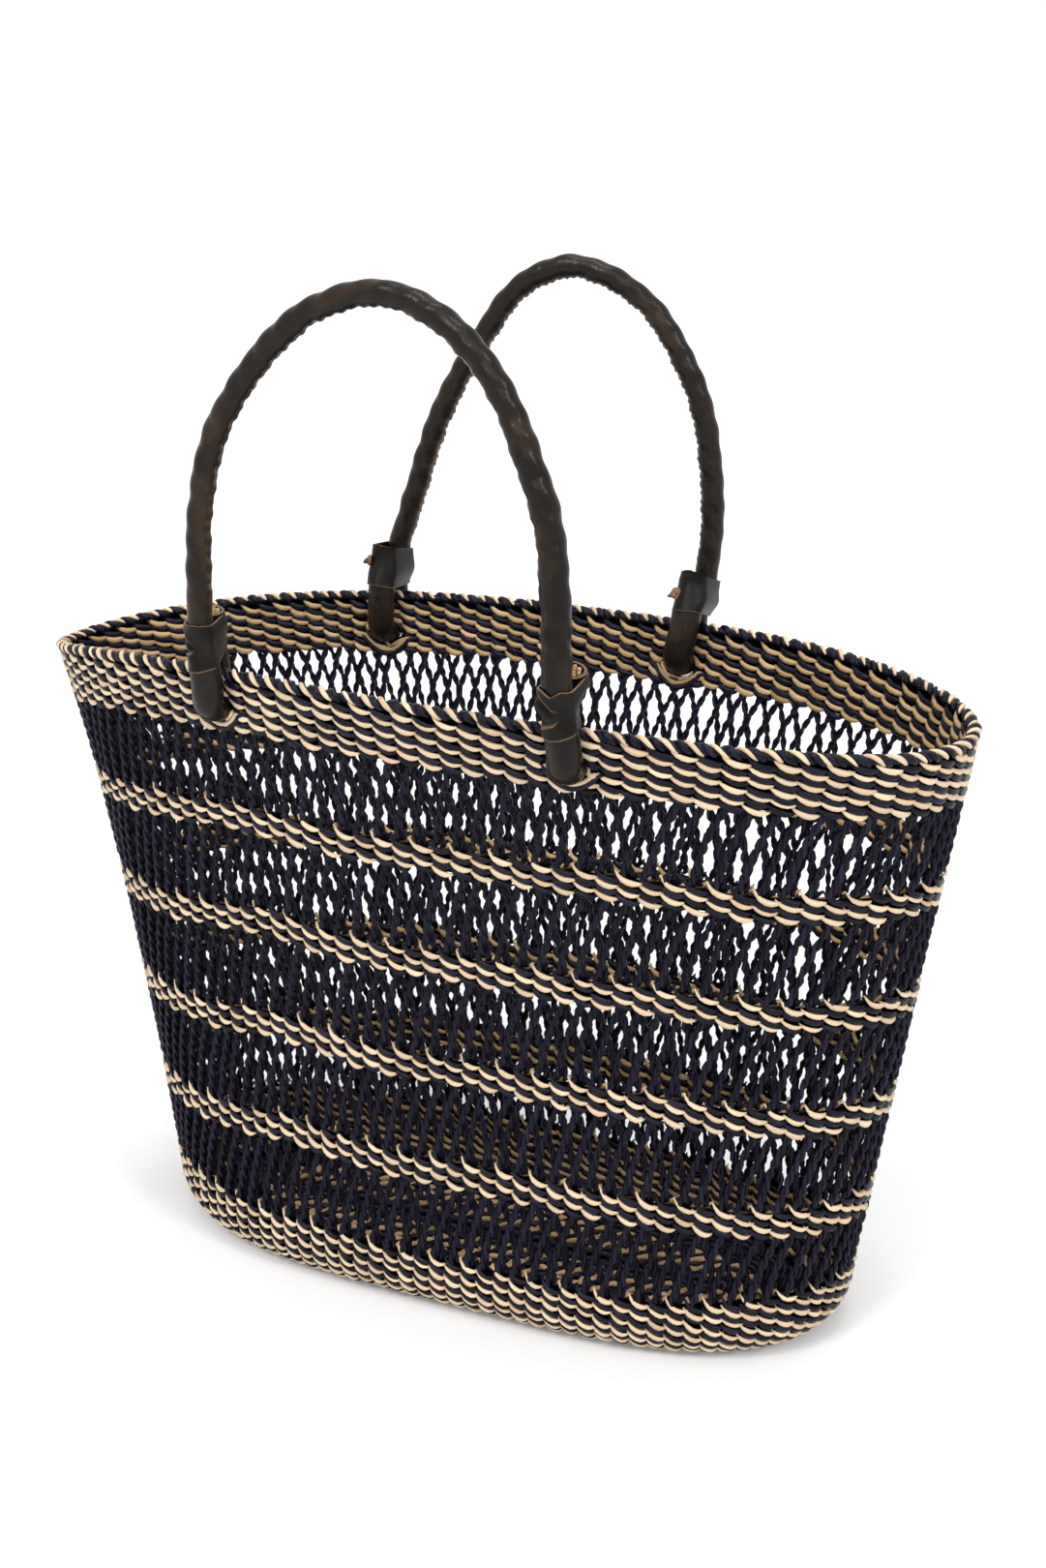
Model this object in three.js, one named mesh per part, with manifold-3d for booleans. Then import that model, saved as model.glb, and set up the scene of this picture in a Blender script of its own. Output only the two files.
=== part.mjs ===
// Woven grass tote: an oval lace-weave basket with a folded rim and two stiff arched handles.
// Each handle is a bundle of grass stalks wrapped in leather. Its two feet run down outside the wall,
// turn inwards through a hole in the rim band and come up again inside, where a keeper ties both legs.
// Millimetres, +Z up, front wall towards -Y. The origin is the middle of the base, on the floor.

import * as THREE from 'three';
import * as BufferGeometryUtils from 'three/addons/utils/BufferGeometryUtils.js';
import Module from 'manifold-3d';

const wasm = await Module();
wasm.setup();

// Basket shape
const BODY_HEIGHT = 326;          // floor to the top of the rim, at the middle of the front
const BASE_HALF_LENGTH = 180;
const BASE_HALF_WIDTH = 80;
const MOUTH_HALF_LENGTH = 235;
const MOUTH_HALF_WIDTH = 100;
const MOUTH_SHIFT = -14;          // the mouth sits a little to the left of the base
const LEFT_TIP_FLARE = 8;         // extra reach of the left tip, close under the rim
const WAIST = 18;                 // how far the long walls draw in at half height
const BASE_POWER = 3.56;          // outline exponents: higher is squarer
const LEFT_MOUTH_POWER = 1.46;
const RIGHT_MOUTH_POWER = 3.13;
const BAND_ARCH = 3;              // rise of the bands from the tips to the middle, at half height
const LEFT_TIP_DROP = 23;         // how far each tip of the mouth hangs below its middle
const RIGHT_TIP_DROP = 9;
const BASE_CORNER = 18;           // radius between wall and base

// Weave
const WALL = 7;                   // closed bands
const LACE_WALL = 6;              // open bands
const BORDER_RADIUS = 3.8;        // folded edge on top of the rim
const BASE_THICKNESS = 7;
const BOTTOM_BAND = 33;
const STRIPE = 18.7;
const RIM_BAND = 26.2;
const LACE_SHARES = [0.188, 0.194, 0.204, 0.209, 0.205];   // of the height left, from the base up
const LACE_TOTAL = BODY_HEIGHT - 2 * BORDER_RADIUS - RIM_BAND - BOTTOM_BAND
  - (LACE_SHARES.length - 1) * STRIPE;
const OPENINGS_AROUND = 24;       // in each lace band, a plain stand-in for its fine diamonds
const OPENING_WIDTH_SHARE = 0.64; // of a facet
const OPENING_HEIGHT_SHARE = 0.76;   // of the band
const OPENING_POINT_SHARE = 0.24;    // height of each pointed end, of the band

// Handles
const HANDLE_RADIUS = 6.25;
const LEATHER = 1.1;
const FOOT_WIDENING = 1.2;        // the legs are flattened where they straddle the wall
const HOLE_BELOW_RIM = 22.9;      // the holes that the feet pass through
const HOLE_HEIGHT = BODY_HEIGHT - HOLE_BELOW_RIM;
const LEG_CLEARANCE = 1.9;        // between each leg and the rim
const HOLE_CLEARANCE = 1.8;
const HANDLE_CENTRE = -29;        // both handles sit to the left of the base's middle
const FRONT_HOLE_SHIFT = 3.5;     // its two holes sit this far right of its legs' tops
const FRONT_LEG_HALF_SPAN = 93;
const FRONT_HALF_SPAN = 92;
const FRONT_ABOVE_RIM = 178;      // middle line of the handle's top, above the rim
const BACK_HOLE_HALF_SPAN = 82.3;
const BACK_HALF_SPAN = 84;
const BACK_ABOVE_RIM = 172;
// Each arch lists [reach along the chord, height] as shares of the half-span and of the rise
const HANDLES = {
  front: {
    side: -1, lean: -3, showsTail: false,
    holeShift: FRONT_HOLE_SHIFT, holeHalfSpan: FRONT_LEG_HALF_SPAN, legHalfSpan: FRONT_LEG_HALF_SPAN,
    halfSpan: FRONT_HALF_SPAN, aboveRim: FRONT_ABOVE_RIM,
    arch: [
      [-1.02, 0.12], [-1.02, 0.31], [-0.94, 0.54], [-0.8, 0.69], [-0.57, 0.85], [-0.35, 0.945], [0, 1],
      [0.31, 0.953], [0.59, 0.82], [0.77, 0.64], [0.91, 0.42], [0.98, 0.24], [1.01, 0.1],
    ],
  },
  back: {
    side: 1, lean: 3, showsTail: true,
    holeShift: 0, holeHalfSpan: BACK_HOLE_HALF_SPAN, legHalfSpan: BACK_HALF_SPAN,
    halfSpan: BACK_HALF_SPAN, aboveRim: BACK_ABOVE_RIM,
    arch: [
      [-0.88, 0.13], [-0.82, 0.27], [-0.74, 0.41], [-0.64, 0.58], [-0.46, 0.78], [-0.27, 0.925], [0.035, 1],
      [0.275, 0.974], [0.55, 0.88], [0.8, 0.705], [0.945, 0.54], [1.03, 0.32], [1.05, 0.14],
    ],
  },
};

// Keepers
const KEEPER_LOW = 26.5;          // bottom and top edge, above the hole
const KEEPER_HIGH = 48;
const CUT_END_DEPTH = 1;          // the inner leg ends this far below the keeper's top edge
const KEEPER_LEATHER = 1.5;
const KEEPER_CLEARANCE = 0.55;    // between the keeper and the legs
const TAIL_LENGTH = 6;            // cut end of the keeper's strip
const TAIL_WIDTH = 5;
const TAIL_THICKNESS = 3;
const TAIL_HEIGHT_SHARE = 0.64;   // of the keeper's height

const GAP = 0.3;                  // between pieces that touch
const AROUND = 48;                // facets round the basket
const TUBE_SIDES = 8;
const KEEPER_SIDES = 16;

const GRASS_DARK = { color: 0x1c1a24, roughness: 0.55, metalness: 0 };
const GRASS_STRIPED = { color: 0x8a7a60, roughness: 0.6, metalness: 0 };
const STALKS = { color: 0xc49a5c, roughness: 0.8, metalness: 0 };
const HANDLE_LEATHER = { color: 0x2c241f, roughness: 0.42, metalness: 0 };
const KEEPER_STRIP = { color: 0x302e2b, roughness: 0.6, metalness: 0 };

const lerp = THREE.MathUtils.lerp;

// Half lengths, half width and outline exponents of the basket at one height
function levelSize(z) {
  const rise = z / BODY_HEIGHT;
  const blend = rise * rise;
  const length = lerp(BASE_HALF_LENGTH, MOUTH_HALF_LENGTH, rise);
  return {
    rise,
    shift: MOUTH_SHIFT * rise,
    left: length + LEFT_TIP_FLARE * rise ** 6,
    right: length,
    width: lerp(BASE_HALF_WIDTH, MOUTH_HALF_WIDTH, rise) - WAIST * 4 * rise * (1 - rise),
    leftPower: lerp(BASE_POWER, LEFT_MOUTH_POWER, blend),
    rightPower: lerp(BASE_POWER, RIGHT_MOUTH_POWER, blend),
  };
}

// How far the bands rise above their level at share u of the half length
function bandRise(size, u) {
  const arch = BAND_ARCH * 4 * size.rise * (1 - size.rise) * (1 - u * u);
  const drop = (u < 0 ? LEFT_TIP_DROP : RIGHT_TIP_DROP) * size.rise ** 3 * Math.abs(u) ** 3;
  return arch - drop;
}

// Middle of the wall at one height, once round from the right tip by way of the back
class WallLine extends THREE.Curve {
  constructor(z) {
    super();
    this.z = z;
    this.size = levelSize(z);
    this.arcLengthDivisions = 400;
  }

  getPoint(share, target = new THREE.Vector3()) {
    const angle = share * 2 * Math.PI;
    const u = Math.cos(angle);
    const { left, right, width, shift, leftPower, rightPower } = this.size;
    const power = u < 0 ? leftPower : rightPower;
    const y = Math.sign(Math.sin(angle)) * width * Math.sqrt(Math.max(1 - Math.abs(u) ** power, 0));
    return target.set(shift + u * (u < 0 ? left : right), y, this.z + bandRise(this.size, u));
  }
}

// Equally spaced points of the wall at one height, with the outward normal of each in plan
const levels = new Map();
function wallStations(z) {
  if (!levels.has(z)) {
    const points = new WallLine(z).getSpacedPoints(AROUND).slice(0, AROUND);
    const stations = points.map((point, i) => {
      const before = points[(i + AROUND - 1) % AROUND];
      const after = points[(i + 1) % AROUND];
      const normal = new THREE.Vector3(after.y - before.y, before.x - after.x, 0).normalize();
      return { point, normal };
    });
    levels.set(z, stations);
  }
  return levels.get(z);
}

// Closed mesh from rings of points: rings join in order, and the last joins the first or both get caps
function loft(rings, closed) {
  const count = rings[0].length;
  const positions = rings.flat().flatMap((p) => [p.x, p.y, p.z]);
  const index = [];
  const joins = closed ? rings.length : rings.length - 1;
  for (let r = 0; r < joins; r++) {
    const a = r * count;
    const b = ((r + 1) % rings.length) * count;
    for (let i = 0; i < count; i++) {
      const j = (i + 1) % count;
      index.push(a + i, a + j, b + j, a + i, b + j, b + i);
    }
  }
  if (!closed) {
    const last = (rings.length - 1) * count;
    for (let i = 1; i < count - 1; i++) {
      index.push(0, i + 1, i, last, last + i, last + i + 1);
    }
  }
  const geometry = new THREE.BufferGeometry();
  geometry.setAttribute('position', new THREE.Float32BufferAttribute(positions, 3));
  geometry.setIndex(index);
  return outwards(geometry);
}

// Turns a mesh whose faces point inwards
function outwards(geometry) {
  const p = geometry.attributes.position;
  const index = geometry.index.array;
  const [a, b, c] = [new THREE.Vector3(), new THREE.Vector3(), new THREE.Vector3()];
  let volume = 0;
  for (let i = 0; i < index.length; i += 3) {
    a.fromBufferAttribute(p, index[i]);
    b.fromBufferAttribute(p, index[i + 1]);
    c.fromBufferAttribute(p, index[i + 2]);
    volume += a.dot(b.cross(c));
  }
  if (volume < 0) {
    geometry.setIndex(Array.from(index).reverse());
  }
  return geometry;
}

// A band of the wall. The profile lists [offset outwards, height] once round its section.
function wallBand(profile) {
  const rings = profile.map(([offset, z]) => wallStations(z).map(({ point, normal }) => (
    point.clone().addScaledVector(normal, offset)
  )));
  return loft(rings, true);
}

// Upright band between two heights, with room for its neighbours
function plainBand(low, high, thickness) {
  const [bottom, top] = [low + GAP / 2, high - GAP / 2];
  const half = thickness / 2;
  return wallBand([[half, bottom], [half, top], [-half, top], [-half, bottom]]);
}

// Lace band: upright openings all round, pointed at both ends, one in every other facet
function laceBand(low, high) {
  const levels = [low + GAP / 2, high - GAP / 2].map(wallStations);
  const corners = [[0, 0], [1, 0], [1, 1], [0, 1]].map((corner) => new THREE.Vector2(...corner));
  const [side, tip] = [OPENING_WIDTH_SHARE / 2, OPENING_HEIGHT_SHARE / 2];
  const shoulder = tip - OPENING_POINT_SHARE;
  const opening = [
    [0, -tip], [side, -shoulder], [side, shoulder], [0, tip], [-side, shoulder], [-side, -shoulder],
  ].map(([x, y]) => new THREE.Vector2(0.5 + x, 0.5 + y));
  const positions = [];
  for (let i = 0; i < AROUND; i++) {
    const at = ({ x, y }, offset) => {
      const [foot, head] = levels.map((stations) => {
        const [a, b] = [i, (i + 1) % AROUND].map((k) => (
          stations[k].point.clone().addScaledVector(stations[k].normal, offset)
        ));
        return a.multiplyScalar(1 - x).addScaledVector(b, x);
      });
      return foot.lerp(head, y).toArray();
    };
    const half = LACE_WALL / 2;
    const holes = i % (AROUND / OPENINGS_AROUND) === 0 ? [opening] : [];
    const points = [corners, ...holes].flat();
    for (const face of THREE.ShapeUtils.triangulateShape(corners, holes)) {
      const [a, b, c] = face.map((k) => points[k]);
      positions.push(...at(a, half), ...at(b, half), ...at(c, half));
      positions.push(...at(c, -half), ...at(b, -half), ...at(a, -half));
    }
    const edges = [[corners[0], corners[1]], [corners[2], corners[3]]];
    holes.flat().forEach((point, k) => edges.push([opening[(k + 1) % opening.length], point]));
    for (const [p, q] of edges) {
      positions.push(...at(q, half), ...at(p, half), ...at(p, -half));
      positions.push(...at(q, half), ...at(p, -half), ...at(q, -half));
    }
  }
  const geometry = new THREE.BufferGeometry();
  geometry.setAttribute('position', new THREE.Float32BufferAttribute(positions, 3));
  return outwards(BufferGeometryUtils.mergeVertices(geometry));
}

// Lowest band: it curves in under the wall to meet the base
function bottomBand() {
  const arc = (radius, steps) => steps.map((degrees) => {
    const angle = THREE.MathUtils.degToRad(degrees);
    return [radius * Math.cos(angle) - BASE_CORNER, BASE_CORNER - radius * Math.sin(angle)];
  });
  const half = WALL / 2;
  const top = BOTTOM_BAND - GAP / 2;
  const outer = arc(BASE_CORNER + half, [90, 60, 30, 0]).map(([offset, z]) => [offset, z + half]);
  const inner = arc(BASE_CORNER - half, [0, 45, 90]).map(([offset, z]) => [offset, z + half]);
  return wallBand([...outer, [half, top], [-half, top], ...inner]);
}

// Flat base inside the lowest band
function baseMat() {
  const rings = [0, BASE_THICKNESS].map((z) => wallStations(z).map(({ point, normal }) => (
    point.clone().addScaledVector(normal, -BASE_CORNER - GAP)
  )));
  return loft(rings, false);
}

// Folded edge: a round bead on top of the rim band
function rimBorder() {
  const centre = BODY_HEIGHT - BORDER_RADIUS;
  const profile = [];
  for (let i = 0; i < 8; i++) {
    const angle = (i + 0.5) * Math.PI / 4;
    profile.push([BORDER_RADIUS * Math.cos(angle), centre + BORDER_RADIUS * Math.sin(angle)]);
  }
  return wallBand(profile);
}

// A mesh as a solid for joins and cuts, and back
function toSolid(geometry) {
  const bare = geometry.clone().deleteAttribute('normal').deleteAttribute('uv');
  const merged = BufferGeometryUtils.mergeVertices(bare);
  return new wasm.Manifold(new wasm.Mesh({
    numProp: 3,
    vertProperties: new Float32Array(merged.attributes.position.array),
    triVerts: new Uint32Array(merged.index.array),
  }));
}

function toGeometry(solid) {
  const mesh = solid.getMesh();
  const geometry = new THREE.BufferGeometry();
  geometry.setAttribute('position', new THREE.BufferAttribute(mesh.vertProperties, 3));
  geometry.setIndex(new THREE.BufferAttribute(mesh.triVerts, 1));
  return geometry;
}

// Point of the wall's middle at a given x, on the front or the back
function wallAt(x, side, z) {
  const line = new WallLine(z);
  const { left, right, shift } = line.size;
  const angle = side * Math.acos((x - shift) / (x < shift ? left : right));
  return line.getPoint(angle / (2 * Math.PI));
}

// Frame of one handle foot: the hole in the wall, the line from foot to foot, the way up along the wall.
// Its legs lean along the line from foot to foot, up to the keeper's top.
function footFrame(handle, end) {
  const reach = (which) => HANDLE_CENTRE + handle.holeShift + which * handle.holeHalfSpan;
  const [hole, other] = [end, -end].map((which) => wallAt(reach(which), handle.side, HOLE_HEIGHT));
  const rim = wallAt(reach(end), handle.side, BODY_HEIGHT);
  const lean = end * (handle.legHalfSpan - handle.holeHalfSpan) - handle.holeShift;
  const along = hole.clone().sub(other).multiplyScalar(end).setZ(0).normalize();
  const up = rim.sub(hole);
  up.addScaledVector(along, -up.dot(along)).normalize();
  const out = new THREE.Vector3().crossVectors(along, up).multiplyScalar(-handle.side);
  const at = (outwards, upwards, sideways = 0) => hole.clone()
    .addScaledVector(out, outwards).addScaledVector(up, upwards)
    .addScaledVector(along, sideways + lean * THREE.MathUtils.smoothstep(upwards, 0, KEEPER_HIGH));
  return { at, along, up, out };
}

// Distance of each leg from the wall's middle, at a height above the hole
const LEG_OFFSET = BORDER_RADIUS + LEG_CLEARANCE + HANDLE_RADIUS;
const LEG_TOGETHER = HANDLE_RADIUS + 2 * GAP;
function legOffset(height) {
  const share = THREE.MathUtils.smoothstep(height, 0.85 * KEEPER_LOW, 0.9 * KEEPER_HIGH);
  return lerp(LEG_OFFSET, LEG_TOGETHER, share);
}

// Points of one foot, from the end of the inner leg through the wall to the top of its keeper
function footPoints(frame) {
  const points = [];
  const leg = (side, from, to, steps) => {
    for (let i = 0; i <= steps; i++) {
      const height = lerp(from, to, i / steps);
      points.push(frame.at(side * legOffset(height), height));
    }
  };
  leg(-1, KEEPER_HIGH - CUT_END_DEPTH, LEG_OFFSET, 4);
  for (const degrees of [30, 60, 90, 120, 150]) {
    const angle = THREE.MathUtils.degToRad(degrees);
    points.push(frame.at(-LEG_OFFSET * Math.cos(angle), LEG_OFFSET * (1 - Math.sin(angle))));
  }
  leg(1, LEG_OFFSET, KEEPER_HIGH, 5);
  return points;
}

// Middle line of a whole handle, from the left inner end to the right one
function handleLine(handle) {
  const left = footPoints(footFrame(handle, -1));
  const right = footPoints(footFrame(handle, 1));
  const [leftTop, rightTop] = [left.at(-1), right.at(-1)];
  const middle = leftTop.clone().add(rightTop).multiplyScalar(0.5);
  const chord = rightTop.clone().sub(leftTop).setZ(0).normalize();
  const rise = BODY_HEIGHT + handle.aboveRim - middle.z;
  const leanOut = new THREE.Vector3(0, handle.side * Math.tan(THREE.MathUtils.degToRad(handle.lean)), 0);
  const points = handle.arch.map(([span, up]) => middle.clone()
    .addScaledVector(chord, span * handle.halfSpan)
    .add(new THREE.Vector3(0, 0, up * rise))
    .addScaledVector(leanOut, up * rise));
  return {
    line: new THREE.CatmullRomCurve3([...left, ...points, ...right.reverse()], false, 'centripetal'),
    footCount: left.length,
    archCount: points.length,
    chord,
  };
}

// Sections along a handle: close together at the feet, wider apart on the arch
function handleSections({ line, footCount, archCount, chord }) {
  const last = 2 * footCount + archCount - 1;
  const sections = [];
  for (let i = 0; i < last; i++) {
    const onArch = i >= footCount - 1 && i < footCount + archCount;
    sections.push(i);
    if (onArch) {
      sections.push(i + 0.5);
    }
  }
  sections.push(last);
  let across = chord.clone();
  return sections.map((place) => {
    const point = line.getPoint(place / last);
    const tangent = line.getTangent(place / last);
    across = across.clone().addScaledVector(tangent, -across.dot(tangent)).normalize();
    const fromEnd = Math.min(place, last - place);
    const flat = 1 - THREE.MathUtils.smoothstep(fromEnd, footCount - 5, footCount - 1);
    return { point, across, other: new THREE.Vector3().crossVectors(tangent, across), flat, chord };
  });
}

// Ring of points round one section, flattened along the chord at the feet
function sectionRing({ point, across, other, flat, chord }, radius) {
  const ring = [];
  for (let i = 0; i < TUBE_SIDES; i++) {
    const angle = (i + 0.5) * 2 * Math.PI / TUBE_SIDES;
    const spoke = across.clone().multiplyScalar(radius * Math.cos(angle))
      .addScaledVector(other, radius * Math.sin(angle));
    spoke.addScaledVector(chord, (FOOT_WIDENING - 1) * flat * spoke.dot(chord));
    ring.push(point.clone().add(spoke));
  }
  return ring;
}

// Leather wrap: a tube open at both ends
function handleWrap(sections) {
  const outer = sections.map((section) => sectionRing(section, HANDLE_RADIUS));
  const inner = sections.map((section) => sectionRing(section, HANDLE_RADIUS - LEATHER));
  return loft([...outer, ...inner.reverse()], true);
}

// Bundle of stalks inside the wrap
function handleCore(sections) {
  return loft(sections.map((section) => sectionRing(section, HANDLE_RADIUS - LEATHER - GAP)), false);
}

// Keeper: a leather strip round both legs of a foot. The back ones show its cut end, inside the bag.
function keeper(handle, end) {
  const frame = footFrame(handle, end);
  const ringAt = (height, offset) => {
    const ring = [];
    for (let i = 0; i < KEEPER_SIDES; i++) {
      const angle = (i + 0.5) * 2 * Math.PI / KEEPER_SIDES;
      const reach = Math.sign(Math.cos(angle)) * legOffset(height) + offset * Math.cos(angle);
      ring.push(frame.at(reach, height, offset * FOOT_WIDENING * Math.sin(angle)));
    }
    return ring;
  };
  const heights = [0, 0.33, 0.67, 1].map((share) => lerp(KEEPER_LOW, KEEPER_HIGH, share));
  const inside = HANDLE_RADIUS + KEEPER_CLEARANCE;
  const outer = heights.map((height) => ringAt(height, inside + KEEPER_LEATHER));
  const inner = heights.map((height) => ringAt(height, inside));
  const band = loft([...outer, ...inner.reverse()], true);
  if (!handle.showsTail) {
    return band;
  }
  const middle = lerp(KEEPER_LOW, KEEPER_HIGH, TAIL_HEIGHT_SHARE);
  const start = (inside + KEEPER_LEATHER / 2) * FOOT_WIDENING;
  const tail = [0, 1].map((share) => {
    const half = TAIL_WIDTH / 2 * (1 - 0.3 * share);
    const reach = start + share * TAIL_LENGTH;
    return [[-1, -1], [1, -1], [1, 1], [-1, 1]].map(([side, up]) => (
      frame.at(side * TAIL_THICKNESS / 2 - legOffset(middle), middle + up * half, -reach)
    ));
  });
  return toGeometry(toSolid(band).add(toSolid(loft(tail, false))));
}

// Rim band with the holes for the four feet
function rimBand(low, high) {
  let band = toSolid(plainBand(low, high, WALL));
  const halfLeg = HANDLE_RADIUS + HOLE_CLEARANCE;
  for (const handle of Object.values(HANDLES)) {
    for (const end of [-1, 1]) {
      const frame = footFrame(handle, end);
      const hole = new THREE.BoxGeometry(2 * (halfLeg * FOOT_WIDENING), 4 * WALL, 2 * halfLeg);
      const axes = new THREE.Matrix4().makeBasis(frame.along, frame.out, frame.up);
      hole.applyMatrix4(axes.setPosition(frame.at(0, 0)));
      band = band.subtract(toSolid(outwards(BufferGeometryUtils.mergeVertices(
        hole.deleteAttribute('normal').deleteAttribute('uv'),
      ))));
    }
  }
  return toGeometry(band);
}

const bag = new THREE.Group();
function addPiece(name, geometry, look) {
  const mesh = new THREE.Mesh(geometry, new THREE.MeshStandardMaterial(look));
  mesh.name = name;
  bag.add(mesh);
}

addPiece('base_mat', baseMat(), GRASS_DARK);
addPiece('bottom_band', bottomBand(), GRASS_STRIPED);
let level = BOTTOM_BAND;
LACE_SHARES.forEach((share, i) => {
  const height = share * LACE_TOTAL;
  addPiece(`lace_band_${i + 1}`, laceBand(level, level + height), GRASS_DARK);
  level += height;
  if (i < LACE_SHARES.length - 1) {
    addPiece(`stripe_band_${i + 1}`, plainBand(level, level + STRIPE, WALL), GRASS_STRIPED);
    level += STRIPE;
  }
});
addPiece('rim_band', rimBand(level, BODY_HEIGHT - 2 * BORDER_RADIUS), GRASS_STRIPED);
addPiece('rim_border', rimBorder(), GRASS_STRIPED);

for (const [name, handle] of Object.entries(HANDLES)) {
  const sections = handleSections(handleLine(handle));
  addPiece(`${name}_handle_wrap`, handleWrap(sections), HANDLE_LEATHER);
  addPiece(`${name}_handle_core`, handleCore(sections), STALKS);
  addPiece(`${name}_keeper_left`, keeper(handle, -1), KEEPER_STRIP);
  addPiece(`${name}_keeper_right`, keeper(handle, 1), KEEPER_STRIP);
}

export default bag;
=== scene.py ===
"""Looks of the woven grass tote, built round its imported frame: weave, handles and keepers."""
import math

import bpy
import numpy as np
from mathutils import Matrix, Vector


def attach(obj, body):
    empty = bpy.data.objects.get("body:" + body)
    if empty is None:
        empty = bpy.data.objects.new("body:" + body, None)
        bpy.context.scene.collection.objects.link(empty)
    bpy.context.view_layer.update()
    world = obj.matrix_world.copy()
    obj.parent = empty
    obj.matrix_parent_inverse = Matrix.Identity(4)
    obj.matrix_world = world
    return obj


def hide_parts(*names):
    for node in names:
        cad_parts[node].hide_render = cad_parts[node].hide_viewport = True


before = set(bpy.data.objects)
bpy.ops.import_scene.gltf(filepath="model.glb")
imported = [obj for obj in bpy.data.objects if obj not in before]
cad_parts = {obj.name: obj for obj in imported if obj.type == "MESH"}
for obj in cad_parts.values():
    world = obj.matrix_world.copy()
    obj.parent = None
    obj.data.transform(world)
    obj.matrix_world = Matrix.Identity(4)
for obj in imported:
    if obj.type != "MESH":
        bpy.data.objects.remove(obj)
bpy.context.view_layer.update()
scene = bpy.context.scene
rng = np.random.default_rng(11)
MILLIMETRE = 0.001

# Basket shape in millimetres, as in the frame
HEIGHT = 326.0
BASE_LENGTH, BASE_WIDTH = 180.0, 80.0
MOUTH_LENGTH, MOUTH_WIDTH = 235.0, 100.0
MOUTH_SHIFT, LEFT_FLARE, WAIST = -14.0, 8.0, 18.0
BASE_POWER, LEFT_POWER, RIGHT_POWER = 3.56, 1.46, 3.13
BAND_ARCH, LEFT_DROP, RIGHT_DROP = 3.0, 23.0, 9.0
CORNER, HALF_WALL = 18.0, 3.5
BEAD = 3.8
BOTTOM_BAND, STRIPE, RIM_BAND = 33.0, 18.7, 26.2
STRIPE_COUNT = 4
LACE_SHARES = (0.188, 0.194, 0.204, 0.209, 0.205)
LACE_TOTAL = HEIGHT - 2 * BEAD - RIM_BAND - BOTTOM_BAND - STRIPE_COUNT * STRIPE
PITCHES = 112

# Handles in millimetres, as in the frame
HANDLE_RADIUS = 6.25
FOOT_WIDENING = 1.2
HOLE_DROP, LEG_CLEARANCE, LEG_GAP = 22.9, 1.9, 0.6
HOLE_HEIGHT = HEIGHT - HOLE_DROP
LEG_OFFSET = BEAD + LEG_CLEARANCE + HANDLE_RADIUS
LEG_TOGETHER = HANDLE_RADIUS + LEG_GAP
KEEPER_LOW, KEEPER_HIGH = 26.5, 48.0
HANDLE_CENTRE = -29.0

# side tells the wall, shift the handle's middle from HANDLE_CENTRE, hole and leg half the distance between
# the holes and between the legs over the keepers, half and top the arch, lean its slope in degrees, rise the
# foot's lowest point over the hole, nudge and bend each foot's way along the wall, stump what the inner leg
# lacks to the keeper's top, tuck how the outer, the left inner and the right inner legs bend sideways, and
# arch the points of the arch in shares of its half and of its height.
HANDLES = {
    "front": dict(
        side=-1, shift=3.5, hole=93, leg=93, half=92, top=504, lean=-3, rise=2.3, nudge=(-1.0, -3.5),
        bend=(1.8, 0.7), stump=1, tuck=((0, 0), (-11.5, -4.5), (-11.5, -0.5)),
        arch=[(-1.02, 0.12), (-1.02, 0.31), (-0.94, 0.54), (-0.8, 0.69), (-0.57, 0.85), (-0.35, 0.945),
              (0, 1), (0.31, 0.953), (0.59, 0.82), (0.78, 0.64), (0.935, 0.42), (0.985, 0.24),
              (1.005, 0.1)]),
    "back": dict(
        side=1, shift=0, hole=82.3, leg=84, half=84, top=498, lean=3, rise=0, nudge=(-1.0, -2.0),
        bend=(0, 0), stump=4.5, tuck=((-1.8, 2.6), (0, 0), (0, 0)),
        arch=[(-0.935, 0.13), (-0.87, 0.27), (-0.795, 0.41), (-0.67, 0.58), (-0.46, 0.78), (-0.27, 0.925),
              (0.035, 1), (0.275, 0.974), (0.55, 0.88), (0.78, 0.705), (0.915, 0.54), (0.995, 0.32),
              (1.02, 0.14)]),
}


def smooth(x, low, high):
    """0 up to low, 1 from high on, and an even slope between."""
    t = np.clip((np.asarray(x, float) - low) / (high - low), 0, 1)
    return t * t * (3 - 2 * t)


def bump(x, centre, width):
    """1 at the centre, falling to 0 on both sides."""
    return np.exp(-((np.asarray(x) - centre) / width) ** 2)


def mix(first, second, share):
    """The first at share 0, the second at share 1."""
    return first * (1 - share) + second * share


def unit(v):
    return v / np.linalg.norm(v, axis=-1, keepdims=True)


def run_of(line):
    """Length of the line up to each of its points."""
    return np.r_[0, np.cumsum(np.linalg.norm(np.diff(line, axis=0), axis=1))]


def spokes(count):
    """Angles of even steps once round."""
    return np.arange(count) * 2 * np.pi / count


# The wall

OUTLINE_STEPS = 2880
LEVELS = np.linspace(0, HEIGHT + 4, 111)
SHARES = np.linspace(0, 1, 1441)
NORMAL_REACH = 14


def half_lengths(t):
    """Half lengths of the outline to the right and to the left, at share t of the height."""
    right = BASE_LENGTH + (MOUTH_LENGTH - BASE_LENGTH) * t
    return right, right + LEFT_FLARE * max(t, 0) ** 6


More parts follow.
